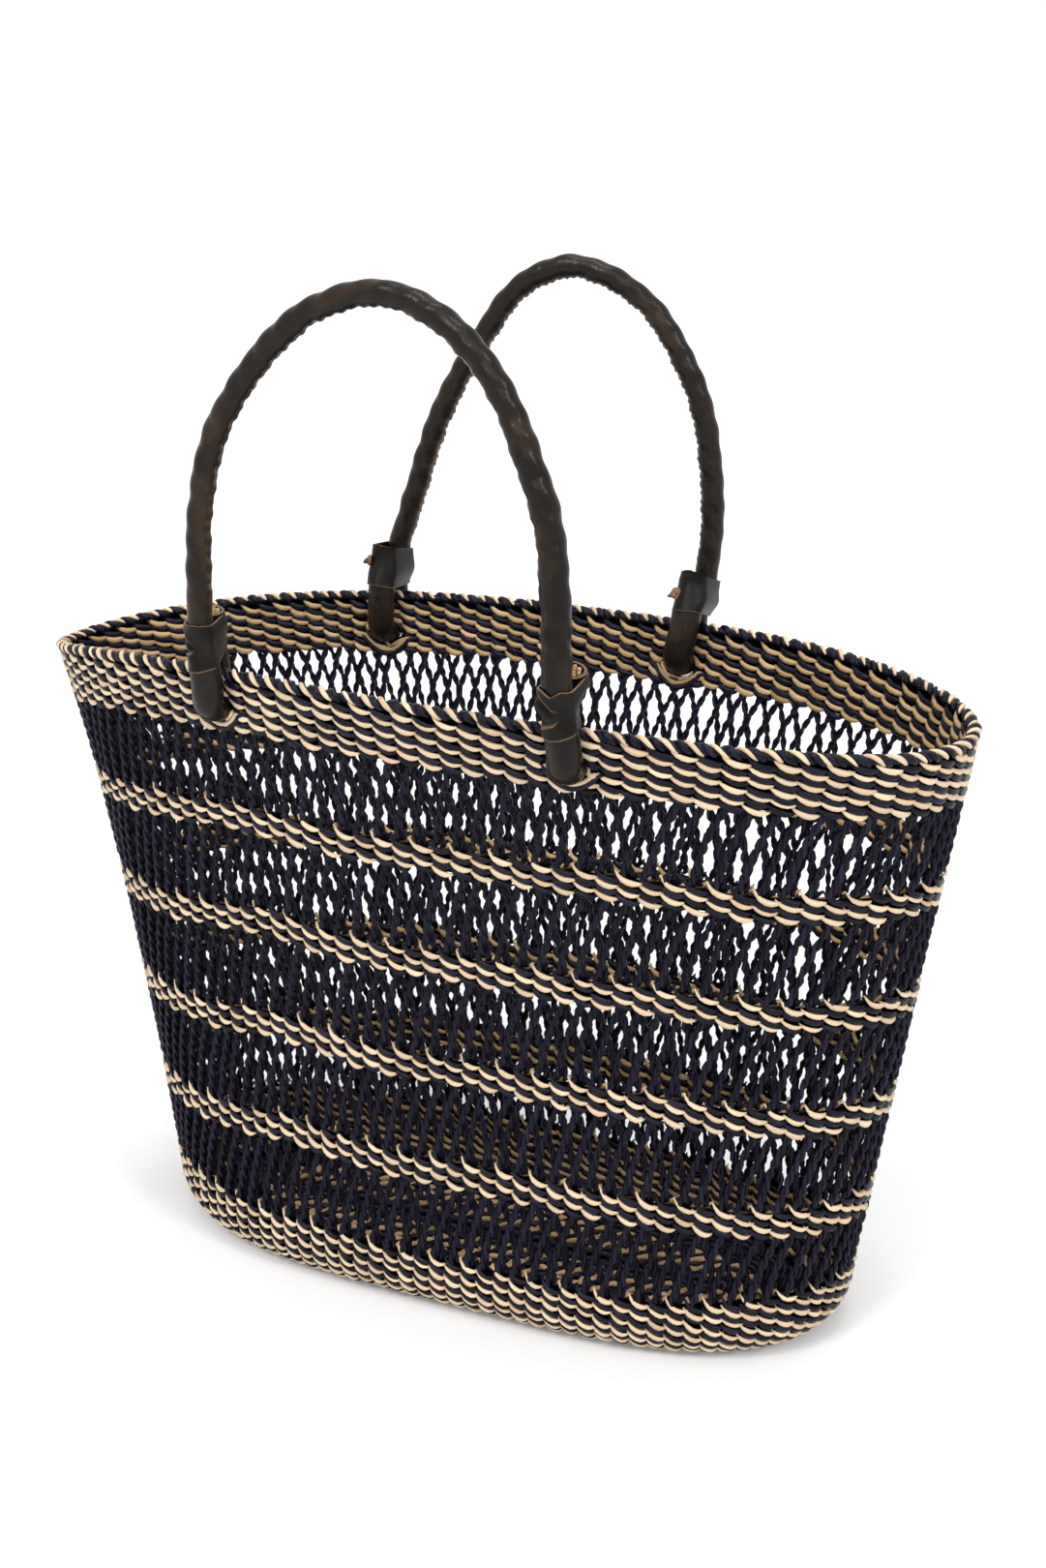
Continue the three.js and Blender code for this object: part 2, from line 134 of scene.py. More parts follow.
def outline(z):
    """Middle of the wall at one level, once round from the right tip by way of the back."""
    t = z / HEIGHT
    right, left = half_lengths(t)
    width = BASE_WIDTH + (MOUTH_WIDTH - BASE_WIDTH) * t - WAIST * 4 * t * (1 - t)
    angle = np.linspace(0, 2 * np.pi, OUTLINE_STEPS + 1)
    u = np.cos(angle)
    power = BASE_POWER + (np.where(u < 0, LEFT_POWER, RIGHT_POWER) - BASE_POWER) * (t * t)
    x = MOUTH_SHIFT * t + u * np.where(u < 0, left, right)
    y = np.sign(np.sin(angle)) * width * np.sqrt(np.maximum(1 - np.abs(u) ** power, 0))
    rise = BAND_ARCH * 4 * t * (1 - t) * (1 - u * u)
    drop = np.where(u < 0, LEFT_DROP, RIGHT_DROP) * t ** 3 * np.abs(u) ** 3
    return np.stack([x, y, z + rise - drop], -1)


def even_line(z):
    """The outline in even steps, and its length."""
    line = outline(z)
    run = run_of(line)
    return np.stack([np.interp(SHARES * run[-1], run, line[:, i]) for i in range(3)], -1), run[-1]


def wall_normals(ring):
    """Level ways out of the wall, square to chords over NORMAL_REACH steps each way."""
    chord = np.roll(ring, -NORMAL_REACH, axis=1) - np.roll(ring, NORMAL_REACH, axis=1)
    normals = unit(np.stack([chord[..., 1], -chord[..., 0], 0 * chord[..., 0]], -1))
    return np.concatenate([normals, normals[:, :1]], axis=1)


even_lines = [even_line(z) for z in LEVELS]
GRID = np.stack([line for line, _ in even_lines])
ROUND = np.array([length for _, length in even_lines])
NORMALS = wall_normals(GRID[:, :-1])

# Warp pitches round the basket: closer together at the back left, wider at the front right
SHARE_KNOTS = np.linspace(0, 1, 561)
knot_turn = 2 * np.pi * SHARE_KNOTS
INDEX_KNOTS = (PITCHES * SHARE_KNOTS + 1.25 - 1.5 * np.cos(knot_turn) - 2 * np.sin(knot_turn)
               + 0.25 * np.cos(2 * knot_turn))


def share_of(a):
    """Share of the way round for a place counted in warp pitches."""
    a = np.asarray(a, float)
    whole = np.floor(a / PITCHES)
    return np.interp(a - whole * PITCHES, INDEX_KNOTS, SHARE_KNOTS) + whole


def look_up(table, share, z):
    """Value of a table over levels and shares of the way round, between its entries too."""
    i = np.clip((z - LEVELS[0]) / (LEVELS[1] - LEVELS[0]), 0, len(LEVELS) - 1.001)
    j = (share % 1) * (len(SHARES) - 1)
    i0, j0 = i.astype(int), np.minimum(j.astype(int), len(SHARES) - 2)
    fi, fj = (i - i0)[..., None], (j - j0)[..., None]
    low, high = [mix(table[row, j0], table[row, j0 + 1], fj) for row in (i0, i0 + 1)]
    return mix(low, high, fi)


def pitch_at(a, z):
    """Width of one pitch in millimetres."""
    step = share_of(np.asarray(a) + 0.5) - share_of(np.asarray(a) - 0.5)
    return step * np.interp(z, LEVELS, ROUND)


def wall(a, h, out):
    """Point of the wall at place a, height h along the surface and distance out from its middle.
    Below the corner's start the surface turns in under the basket."""
    a, h, out = np.broadcast_arrays(np.asarray(a, float), np.asarray(h, float), np.asarray(out, float))
    share = share_of(a)
    arc = CORNER + HALF_WALL
    turned = np.clip((arc - h) / CORNER, 0, np.pi / 2)
    below = h < arc
    beyond = np.maximum(arc - h - CORNER * np.pi / 2, 0)
    offset = np.where(below, -CORNER + (CORNER + out) * np.cos(turned) - beyond, out)
    level = np.where(below, arc - (CORNER + out) * np.sin(turned), h)
    base = look_up(GRID, share, np.maximum(level, 0))
    base[..., 2] += np.minimum(level, 0)
    return base + look_up(NORMALS, share, np.maximum(level, 0)) * offset[..., None]


# The feet of the handles

# Half axes of the opening that strands leave at a hole, and how far off they still give way
OPENING_WIDE, OPENING_HIGH = 8.9, 7.6
WAY_WIDE, WAY_HIGH = 45, 40


def wall_at(x, side, z):
    """Middle of the front (side -1) or back (side 1) wall at x and one level."""
    t = z / HEIGHT
    shift = MOUTH_SHIFT * t
    right, left = half_lengths(t)
    angle = math.acos((x - shift) / (left if x < shift else right)) * side
    line = outline(z)
    place = (angle / (2 * np.pi)) % 1 * (len(line) - 1)
    k = int(place)
    return line[k] + (line[k + 1] - line[k]) * (place - k)


def foot_frame(handle, end):
    """The hole, the line from foot to foot and the way up along the wall; the legs lean along that line."""
    middle = HANDLE_CENTRE + handle["shift"]
    hole, other = [wall_at(middle + which * handle["hole"], handle["side"], HOLE_HEIGHT)
                   for which in (end, -end)]
    rim = wall_at(middle + end * handle["hole"], handle["side"], HEIGHT)
    top = end * (handle["leg"] - handle["hole"]) - handle["shift"]
    along = (hole - other) * end
    along[2] = 0
    along = unit(along)
    up = rim - hole
    up = unit(up - along * (up @ along))
    out = -handle["side"] * np.cross(along, up)
    nudge, bend = handle["nudge"][end > 0], handle["bend"][end > 0]

    def lean(u):
        return (top * smooth(u, 0, KEEPER_HIGH) + nudge * (1 - smooth(u, 0, 16))
                + bend * smooth(u, 2, 18) * (1 - smooth(u, 26, 46)))

    return dict(hole=hole, along=along, up=up, out=out, lean=lean, end=end,
                at=lambda o, u, s=0: hole + out * o + up * u + along * (s + lean(u)))


def nearest_place(point):
    """Place and height on the wall of a point."""
    flat = GRID[:, :-1]
    k = np.argmin(np.linalg.norm(flat - point, axis=-1))
    i, j = np.unravel_index(k, flat.shape[:2])
    return np.interp(SHARES[j], SHARE_KNOTS, INDEX_KNOTS), LEVELS[i]


FEET = [nearest_place(foot_frame(handle, end)["at"](0, handle["rise"]))
        for handle in HANDLES.values() for end in (-1, 1)]


def make_way(a, h):
    """Strands part round the four holes."""
    a, h = np.array(a, float), np.array(h, float)
    for place, height in FEET:
        width = pitch_at(place, height)
        x = ((a - place + PITCHES / 2) % PITCHES - PITCHES / 2) * width
        y = h - height
        near = (np.abs(x) < WAY_WIDE) & (np.abs(y) < WAY_HIGH)
        rho = np.sqrt((x / OPENING_WIDE) ** 2 + (y / OPENING_HIGH) ** 2) + 1e-3
        grow = ((rho ** 3 + 1) ** (1 / 3)) / rho
        a = np.where(near, a + x * (grow - 1) / width, a)
        h = np.where(near, h + y * (grow - 1), h)
    return a, h


# Colours

STRAW = np.array([0.93, 0.73, 0.49])
STRAW_PINK = np.array([0.84, 0.56, 0.37])
STRAW_BROWN = np.array([0.52, 0.30, 0.12])
STALK_BROWN = np.array([0.52, 0.32, 0.12])
GOLD = np.array([0.64, 0.43, 0.205])
GOLD_DARK = np.array([0.38, 0.22, 0.075])
NAVY = np.array([0.0075, 0.0066, 0.0162])
NAVY_LIGHT = np.array([0.024, 0.020, 0.045])
BLACK = np.array([0.002, 0.002, 0.003])
HIDE = np.array([0.0160, 0.0110, 0.0076])
HIDE_BROWN = np.array([0.036, 0.0215, 0.0117])
HIDE_TAN = np.array([0.30, 0.17, 0.08])
STRIP_HIDE = np.array([0.0118, 0.0105, 0.0084])
EDGE_TAN = np.array([0.26, 0.155, 0.095])
CUT_BROWN = np.array([0.26, 0.145, 0.08])

# How alike the strands of a kind are, how light and dark they get, and the shares and colours each kind mixes
TINT_EVENNESS, TINT_RANGE = 1.6, (0.86, 1.1)
MIXES = {
    "natural": ((3.0, 0.9, 0.25), (STRAW, STRAW_PINK, STRAW_BROWN)),
    "gold": ((2.0, 1.0, 0.6), (GOLD, GOLD_DARK, STRAW_PINK)),
    "navy": ((2.0, 0.7, 0.8), (NAVY, NAVY_LIGHT, BLACK)),
    "stalk": ((3.0, 1.0, 2.0), (STALK_BROWN, STRAW, STRAW_BROWN)),
}


def tints(kind, count):
    """A colour for each strand, mixed at random."""
    shares, colours = MIXES[kind]
    mixed = rng.dirichlet(np.array(shares) * TINT_EVENNESS, count) @ np.array(colours)
    return mixed * rng.uniform(*TINT_RANGE, (count, 1))


# Meshes

# Millimetres of a strand to one step of texture, how far apart strands lie in it, and a sheet's step
TEXTURE_STEP, TEXTURE_SPREAD, SHEET_TEXTURE = 10, 60, 0.3
# Angle of a ring's first point
TUBE_TURN = 0.5


def faces_between(i, j, i2, j2, columns):
    """Faces between rows i and i2 and columns j and j2 of a grid of points."""
    first, second = i * columns, i2 * columns
    return np.stack([first + j, first + j2, second + j2, second + j], -1).reshape(-1, 4)


def closed_rows(count, columns, run, step):
    """Faces and texture places of a grid of points whose rows close on themselves."""
    i, j = np.meshgrid(np.arange(count - 1), np.arange(columns), indexing="ij")
    u = np.stack([run[i], run[i], run[i + 1], run[i + 1]], -1)
    v = np.stack([j, j + 1, j + 1, j], -1) * step
    faces = faces_between(i, j, i + 1, (j + 1) % columns, columns)
    return faces, np.stack([u, v], -1).reshape(-1, 4, 2)


class Pile:
    """Many strands and surfaces gathered into one mesh."""

    def __init__(self):
        self.verts, self.quads, self.uvs, self.tints, self.count = [], [], [], [], 0

    def add_faces(self, quads, uvs):
        """Faces of the points that are added next, numbered from the first of them."""
        self.quads.append((quads + self.count).reshape(-1, 4))
        self.uvs.append(uvs.reshape(-1, 2))

    def add_points(self, points, tint):
        """Points in any arrangement, and their colours."""
        self.verts.append(points.reshape(-1, 3))
        self.tints.append(np.broadcast_to(tint, points.shape).reshape(-1, 3))
        self.count += points.size // 3

    def tubes(self, centre, side, depth, tint, sides=6, seed_uv=True):
        """centre, side and depth are (tubes, rings, 3); side and depth are the half axes of each ring."""
        tubes, rings = centre.shape[:2]
        angle = spokes(sides) + TUBE_TURN
        points = (centre[:, :, None] + side[:, :, None] * np.cos(angle)[:, None]
                  + depth[:, :, None] * np.sin(angle)[:, None])
        faces, uv = closed_rows(rings, sides, run_of(centre[0]) / TEXTURE_STEP, 1 / sides)
        one = (tubes, 1, 1, 2)
        uv = uv + (rng.uniform(0, TEXTURE_SPREAD, one) if seed_uv else np.zeros(one))
        first = (np.arange(tubes) * rings * sides)[:, None, None]
        self.add_faces(faces + first, uv)
        # a fan of faces closes each end
        for ring in (0, rings - 1):
            order = np.arange(sides) + ring * sides
            fan = np.array([[order[0], order[k], order[k + 1], order[min(k + 2, sides - 1)]]
                            for k in range(1, sides - 1, 2)])
            fan = fan if ring else fan[:, ::-1]
            self.add_faces(fan + first, np.broadcast_to(uv[:, :1, :1], (tubes, len(fan), 4, 2)))
        tint = np.asarray(tint, float)
        tint = tint[:, None] if tint.ndim == 2 else tint
        self.add_points(points, np.broadcast_to(tint, centre.shape)[:, :, None])

    def tube(self, centre, side, depth, tint, sides=6):
        """One tube; centre, side and depth are (rings, 3)."""
        self.tubes(centre[None], side[None], depth[None], np.broadcast_to(tint, centre.shape)[None], sides)

    def grid(self, points, tint, scale):
        """A surface from rows of points; each row closes on itself."""
        count, columns = points.shape[:2]
        self.add_faces(*closed_rows(count, columns, np.arange(count) * scale[0], scale[1]))
        self.add_points(points, tint)

    def sheet(self, points, faces, flip):
        """A sheet painted black as shade, from rows of points and faces numbered along the rows."""
        columns = points.shape[1]
        faces = faces[:, ::-1] if flip else faces
        self.add_faces(faces, np.stack([faces % columns, faces // columns], -1) * SHEET_TEXTURE)
        # the sheet's black is painted shade
        self.add_points(points, BLACK)

    def build(self, name, body, slot, material, replaces):
        """The pile as an object that rides on its body, in place of the nodes it replaces."""
        parts = (self.verts, self.quads, self.uvs, self.tints)
        verts, quads, uvs, colours = [np.concatenate(part) for part in parts]
        mesh = bpy.data.meshes.new(name)
        mesh.vertices.add(len(verts))
        mesh.vertices.foreach_set("co", (verts * MILLIMETRE).astype(np.float32).ravel())
        mesh.loops.add(len(quads) * 4)
        mesh.loops.foreach_set("vertex_index", quads.astype(np.int32).ravel())
        mesh.polygons.add(len(quads))
        mesh.polygons.foreach_set("loop_start", np.arange(0, len(quads) * 4, 4, dtype=np.int32))
        mesh.polygons.foreach_set("use_smooth", np.ones(len(quads), bool))
        layer = mesh.uv_layers.new(name="run")
        layer.data.foreach_set("uv", uvs.astype(np.float32).ravel())
        layer = mesh.color_attributes.new("tint", "FLOAT_COLOR", "POINT")
        layer.data.foreach_set("color", np.c_[colours, np.ones(len(colours))].astype(np.float32).ravel())
        mesh.update(calc_edges=True)
        mesh.validate()
        mesh.materials.append(material)
        obj = bpy.data.objects.new(name, mesh)
        scene.collection.objects.link(obj)
        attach(obj, body)
        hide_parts(*replaces)


# Materials

STREAK_SPREAD = 0.35
RELIEF_STRENGTH = 0.6


def fill_in(node, values):
    """Sets the named inputs of a node."""
    for name, value in values.items():
        node.inputs[name].default_value = value


def tinted(name, roughness, specular, streaks, relief, along=0.5, across=9):
    """Fibrous or leathery surface: the strand's own tint, streaked along its length."""
    material = bpy.data.materials.new(name)
    material.use_nodes = True
    nodes, links = material.node_tree.nodes, material.node_tree.links
    shader = nodes["Principled BSDF"]
    fill_in(shader, {"Roughness": roughness, "Specular IOR Level": specular})
    colour = nodes.new("ShaderNodeAttribute")
    colour.attribute_name = "tint"
    uv = nodes.new("ShaderNodeUVMap")
    uv.uv_map = "run"
    scale = nodes.new("ShaderNodeMapping")
    fill_in(scale, {"Scale": (along, across, 1)})
    links.new(uv.outputs["UV"], scale.inputs["Vector"])
    noise = nodes.new("ShaderNodeTexNoise")
    fill_in(noise, {"Scale": 1.0, "Detail": 3.0, "Roughness": 0.6})
    links.new(scale.outputs["Vector"], noise.inputs["Vector"])
    ramp = nodes.new("ShaderNodeMapRange")
    fill_in(ramp, {"From Min": 0.5 - STREAK_SPREAD, "From Max": 0.5 + STREAK_SPREAD,
                   "To Min": 1 - streaks, "To Max": 1 + streaks * 0.5})
    links.new(noise.outputs["Fac"], ramp.inputs["Value"])
    streaked = nodes.new("ShaderNodeVectorMath")
    streaked.operation = "MULTIPLY"
    links.new(colour.outputs["Color"], streaked.inputs[0])
    links.new(ramp.outputs["Result"], streaked.inputs[1])
    links.new(streaked.outputs["Vector"], shader.inputs["Base Color"])
    ridges = nodes.new("ShaderNodeBump")
    fill_in(ridges, {"Strength": RELIEF_STRENGTH, "Distance": relief})
    links.new(noise.outputs["Fac"], ridges.inputs["Height"])
    links.new(ridges.outputs["Normal"], shader.inputs["Normal"])
    return material


NATURAL = tinted("natural_grass", roughness=0.45, specular=0.3, streaks=0.22, relief=0.0005)
DARK = tinted("navy_grass", roughness=0.27, specular=0.14, streaks=0.6, relief=0.0008)
# material of the warp sheets, whose black is painted shade between the floats
WARP_SHADE = tinted("warp_painted_shade", roughness=0.9, specular=0.0, streaks=0.5, relief=0.0004)
LEATHER = tinted("handle_leather", roughness=0.27, specular=0.18, streaks=0.45, relief=0.0009,
                 along=1.6, across=6)
KEEPER = tinted("keeper_leather", roughness=0.40, specular=0.11, streaks=0.3, relief=0.0005,
                along=2, across=3)
STALK = tinted("stalks", roughness=0.7, specular=0.5, streaks=0.3, relief=0.0004, along=0.6, across=8)


# Strands on the wall

# Slow wander of the rows: size, share of the way round and width of each bump on the front, then waves
SWELL_BUMPS = ((3.8, 0.652, 0.030), (-2.0, 0.722, 0.045), (0.8, 0.86, 0.03))
SWELL_WAVES = ((0.5, 57, 5), (0.35, 131, 17))


def end_share(a):
    """0 along the middle of the long walls, 1 at both ends."""
    return smooth(np.abs(share_of(a) % 0.5 - 0.25), 0.11, 0.2)


def swell(a, h):
    """Slow wander of the rows: they stand higher left of the front's middle."""
    share = share_of(a) % 1
    t = np.clip(np.asarray(h) / HEIGHT, 0, 1)
    front = sum(size * bump(share, at, width) for size, at, width in SWELL_BUMPS)
    waves = sum(size * np.sin(share * turns + t * slant) for size, turns, slant in SWELL_WAVES)
    return 4 * t * (1 - t) * (front + waves)


def strand_frame(a, h, out):
    """Middle, way across and way out of strands on the wall, one per row of a and h."""
    centre = wall(a, h, out)
    along = unit(np.gradient(centre, axis=1))
    normal = unit(wall(a, h, out + 1) - centre)
    return centre, unit(np.cross(along, normal)), normal


def flattened(pile, frames, half, depth, tint, sides=6):
    """Strands as wide as half says and at most as thick as depth."""
    centre, across, normal = frames
    pile.tubes(centre, across * half[..., None], normal * np.minimum(half, depth)[..., None], tint, sides)


# Dense bands

# A float of the outer and of the inner face, in four rows: pitches along, millimetres up, half width, way out
OUTER_FLOAT = np.array([[-0.02, 0.12, 0.32, 0.56, 0.8, 1.0, 1.12, 1.2],
                        [0.4, -0.9, -2.05, -3.0, -3.5, -3.45, -3.2, -3.0],
                        [0.35, 0.72, 1.15, 1.38, 1.32, 0.95, 0.6, 0.3],
                        [0.7, 1.5, 2.2, 2.6, 2.7, 2.35, 1.95, 1.5]])
INNER_FLOAT = np.array([[-0.05, 0.2, 0.5, 0.8, 1.05, 1.2],
                        [0.2, -1.5, -2.9, -3.4, -3.3, -3.2],
                        [0.5, 1.3, 1.6, 1.55, 1.1, 0.4],
                        [0.9, 2.0, 2.6, 2.5, 2.1, 1.6]])
FLOAT_DEPTH = 1.05
NAVY_WIDER, NAVY_FLATTER = 1.22, 0.92
SHEET_STEPS = 448
SHEET_OUT = 0.55
HOLE_WIDE, HOLE_HIGH = 3.2, 3.4


def crescents(starts, heights, first, outer, width):
    """Strand floats of one face: (count, rings) places, heights, distances out, half widths."""
    one = (len(starts), 1)
    along, up, wide, reach = OUTER_FLOAT if outer else INNER_FLOAT
    way = 1 if outer else -1
    a = starts[:, None] + way * along[None] * rng.normal(1, 0.04, one)
    sag = rng.normal(1, 0.1, one)
    h = heights[:, None] + up[None] * sag + rng.normal(0, 0.25, one)
    h = h + first[:, None] * 1.6 * np.clip(1 - (along[None] + 0.02) / 0.4, 0, 1) ** 1.4
    half = wide[None] * width * rng.normal(1, 0.1, one)
    out = (reach[None] + rng.normal(0, 0.12, one)) * way
    return a, h + swell(a, h), out, half


def dense_band(top, fall, rows, lift=1.0, width=1.0, navy_last=False):
    """A closed band: chains of floats run down to the right, natural and navy in turn, on both faces.
    top is the height of each chain's first tip and fall the way down from one float to the next."""
    natural, navy = Pile(), Pile()
    for outer in (True, False):
        for k in range(rows):
            for dark in (0, 1):
                places = np.arange(dark, PITCHES, 2).astype(float)
                starts = places + (k if outer else -k)
                first = np.full(len(places), lift if k == 0 else 0.0)
                a, h, out, half = crescents(starts, top(starts) - k * fall(starts), first, outer, width)
                pile = navy if dark or (navy_last and k == rows - 1) else natural
                tint = tints("navy" if pile is navy else "natural" if outer else "gold", len(places))
                if pile is navy:
                    half, out = half * NAVY_WIDER, out * NAVY_FLATTER
                frames = strand_frame(*make_way(a, h), out)
                flattened(pile, frames, half, FLOAT_DEPTH, tint, 6 if outer else 5)
    return natural, navy


def core_sheet(name, low, high, cells):
    """Warp strands inside a dense band stop the light, as sheets painted black as the shade between the
    floats; they leave the four holes open.
    """
    pile = Pile()
    a = np.repeat(np.linspace(0, PITCHES, SHEET_STEPS + 1)[:, None], cells + 1, axis=1)
    h = low(a) + (high(a) - low(a)) * np.linspace(0, 1, cells + 1)
    h = h + swell(a, h)
    i, j = [part.ravel() for part in np.meshgrid(np.arange(SHEET_STEPS), np.arange(cells), indexing="ij")]
    corners = np.stack([i, i + 1, i, i + 1]), np.stack([j, j, j + 1, j + 1])
    keep = np.ones(len(i), bool)
    for place, height in FEET:
        x = (a[corners] - place) * pitch_at(place, height)
        y = h[corners] - height
        keep &= ~((np.abs(x).min(0) < HOLE_WIDE) & (np.abs(y).min(0) < HOLE_HIGH))
    faces = faces_between(i, j, i + 1, j + 1, cells + 1)[keep]
    a, h = make_way(a, h)
    # warp sheets painted black as shade
    for out in (SHEET_OUT, -SHEET_OUT):
        pile.sheet(wall(a, h, out), faces, out < 0)
    pile.build(f"{name}_warp_shade", "basket", "grass_dark", WARP_SHADE, [name])


def build_pair(name, natural, navy):
    """Natural and navy strands of the basket in place of one node."""
    natural.build(f"{name}_natural", "basket", "grass_natural", NATURAL, [name])
    navy.build(f"{name}_navy", "basket", "grass_dark", DARK, [name])


# Lace

ROPE_LAY = 13.0
ROPE_RADIUS, PLY_RADIUS = 0.86, 1.03
ROPE_RINGS = 17
ROPE_LEAN = 0.29
LACE_OVERLAP = 3.5
FRONT_FULLER, LAYER_SHIFT, GATHER = 0.24, 0.25, 0.06


def rope(pile, a, h, out, radius, ply, phase, tint, twist):
    """Two-ply rope along each row of places: each ply winds round the rope's middle."""
    centre, across, normal = strand_frame(a, h, out)
    run = np.stack([run_of(line) for line in centre])
    for which in (0, 1):
        turn = twist * 2 * np.pi * run / ROPE_LAY + phase[:, None] + which * np.pi
        middle = (centre + across * radius * np.cos(turn)[..., None]
                  + normal * radius * 0.85 * np.sin(turn)[..., None])
        pile.tubes(middle, across * ply, normal * (ply * 0.92), tint[which], 5)


def lace(name, low, high):
    """Open band: going up, outer ropes lean right and inner ropes left, so that diamonds stay open."""
    pile = Pile()
    places = np.arange(PITCHES).astype(float)
    one = (PITCHES, 1)
    t = np.linspace(0, 1, ROPE_RINGS)
    # ropes are a little fuller on the front
    fuller = 1 + FRONT_FULLER * smooth(share_of(places), 0.47, 0.53)[:, None]
    for way in (1, -1):
        start = places[:, None] + LAYER_SHIFT * way + rng.normal(0, 0.05, one)
        bottom, top = low(start) - LACE_OVERLAP, high(start) + LACE_OVERLAP
        h = bottom + (top - bottom) * t
        width = pitch_at(places, (bottom + top)[:, 0] / 2)[:, None]
        lean = ROPE_LEAN * way * rng.normal(1, 0.08, one)
        sway = rng.normal(0, 0.3, one) * np.sin(np.pi * t)
        a = start + (lean * (h - bottom) + sway) / width
        # ropes gather where the two layers cross
        a = a + GATHER * way * np.sin(2 * np.pi * (t + 0.2))
        h = h + swell(a, h)
        edge = smooth(t, 0, 0.1) * (1 - smooth(t, 0.9, 1))
        out = way * (0.9 + 0.75 * edge) + rng.normal(0, 0.1, one)
        ply = (PLY_RADIUS * fuller * rng.normal(1, 0.08, one))[..., None]
        phase = rng.uniform(0, 2 * np.pi, PITCHES)
        tint = tints("navy", PITCHES), tints("navy", PITCHES)
        rope(pile, *make_way(a, h), out, ROPE_RADIUS * fuller[..., None], ply, phase, tint, way)
    pile.build(f"{name}_ropes", "basket", "grass_dark", DARK, [name])


# Bands from the bottom up

# Rows of each band; the bottom band's height and BOTTOM_UNDER make BOTTOM_FALLS falls. The others are in
# millimetres, and a stripe's tips and sheet are counted from its middle.
BOTTOM_ROWS, STRIPE_ROWS, RIM_ROWS = 12, 4, 8
BOTTOM_FALLS, BOTTOM_UNDER, BOTTOM_EDGE = 12.2, 3.5, -6.0
BOTTOM_SLACK, END_RISE = 1.5, 6.0
STRIPE_TIPS, STRIPE_FALL, STRIPE_SHEET = 7.0, 3.5, (-6.5, 4.5)
RIM_TIPS, RIM_FALL, RIM_SHEET = 320.6, 3.3, (294.5, 321.0)


def level(value):
    """The same value at every place."""
    return lambda a: np.full(np.shape(a), float(value))


def band_bottom(a):
    """Height where the bottom band ends: higher at both ends of the basket."""
    return BOTTOM_BAND - BOTTOM_SLACK + END_RISE * end_share(a)


natural, navy = dense_band(band_bottom, lambda a: (band_bottom(a) + BOTTOM_UNDER) / BOTTOM_FALLS, BOTTOM_ROWS,
                           width=0.93, navy_last=True)
core_sheet("bottom_band", level(BOTTOM_EDGE), lambda a: band_bottom(a) - BOTTOM_SLACK, 10)
build_pair("bottom_band", natural, navy)

low, stripe_top = band_bottom, BOTTOM_BAND
for number, share in enumerate(LACE_SHARES, 1):
    lace_top = stripe_top + share * LACE_TOTAL
    lace(f"lace_band_{number}", low, level(lace_top))
    if number <= STRIPE_COUNT:
        centre = lace_top + STRIPE / 2
        natural, navy = dense_band(level(centre + STRIPE_TIPS), level(STRIPE_FALL), STRIPE_ROWS)
        core_sheet(f"stripe_band_{number}", *[level(centre + edge) for edge in STRIPE_SHEET], 4)
        build_pair(f"stripe_band_{number}", natural, navy)
        stripe_top = lace_top + STRIPE
        low = level(stripe_top)

rim_natural, rim_navy = dense_band(level(RIM_TIPS), level(RIM_FALL), RIM_ROWS, lift=0.4, width=1.05)
core_sheet("rim_band", *[level(edge) for edge in RIM_SHEET], 10)

# Strands that pass under a foot
BOW_TAPER = np.array([0.4, 0.8] + [1.0] * 9 + [0.8, 0.4])
BOW_OUT, BOW_DEPTH = 2.9, 1.0


def bow(pile, place, height, outer, tint, sag, reach, half):
    """One strand that hangs under a foot by sag and reaches as far to both sides as reach."""
    way = 1 if outer else -1
    x = np.linspace(-reach, reach + 2, len(BOW_TAPER))
    y = -sag * np.cos(np.clip(x / reach, -1, 1) * np.pi / 2) ** 0.8 - 0.06 * x - 1.5
    a = (place + way * x / pitch_at(place, height))[None]
    frames = strand_frame(a, (height + y)[None], np.full_like(a, way * BOW_OUT))
    flattened(pile, frames, half * BOW_TAPER[None], BOW_DEPTH, tint)


for place, height in FEET:
    for outer in (True, False):
        tint = tints("natural" if outer else "gold", 1)
        bow(rim_natural, place, height, outer, tint, sag=7.9, reach=11.5, half=1.05)
        bow(rim_navy, place, height, outer, tints("navy", 1), sag=10.2, reach=13.5, half=1.45)
build_pair("rim_band", rim_natural, rim_navy)

# Folded border: slanting teeth over a dark cord
BORDER_LEVEL = HEIGHT - BEAD
TOOTH_RUN, TOOTH_DEPTH = 0.95, 1.15
CORD_HALF_WIDTH, CORD_HALF_HEIGHT = 1.9, 2.0


def teeth(pile, shift, tint, half, radius, inside, outside):
    """Strands folded over the rim, one to a pitch, from an angle inside it to one outside."""
    one = (PITCHES, 1)
    t = np.linspace(0, 1, 9)
    angle = np.radians(inside + (outside - inside) * t)[None] + rng.normal(0, 0.12, one)
    places = np.arange(PITCHES)[:, None] + shift
    a = places + TOOTH_RUN * (t[None] - 0.5) + rng.normal(0, 0.08, one)
    r = radius * (1 + rng.normal(0, 0.05, one))
    centre = wall(a, BORDER_LEVEL + r * np.sin(angle), r * np.cos(angle))
    along = unit(np.gradient(centre, axis=1))
    normal = centre - wall(a, BORDER_LEVEL, 0)
    normal = unit(normal - along * np.sum(normal * along, -1, keepdims=True))
    half = half * (1 - 0.55 * np.abs(2 * t - 1) ** 3)[None] * rng.normal(1, 0.1, one)
    flattened(pile, (centre, unit(np.cross(along, normal)), normal), half, TOOTH_DEPTH, tint)


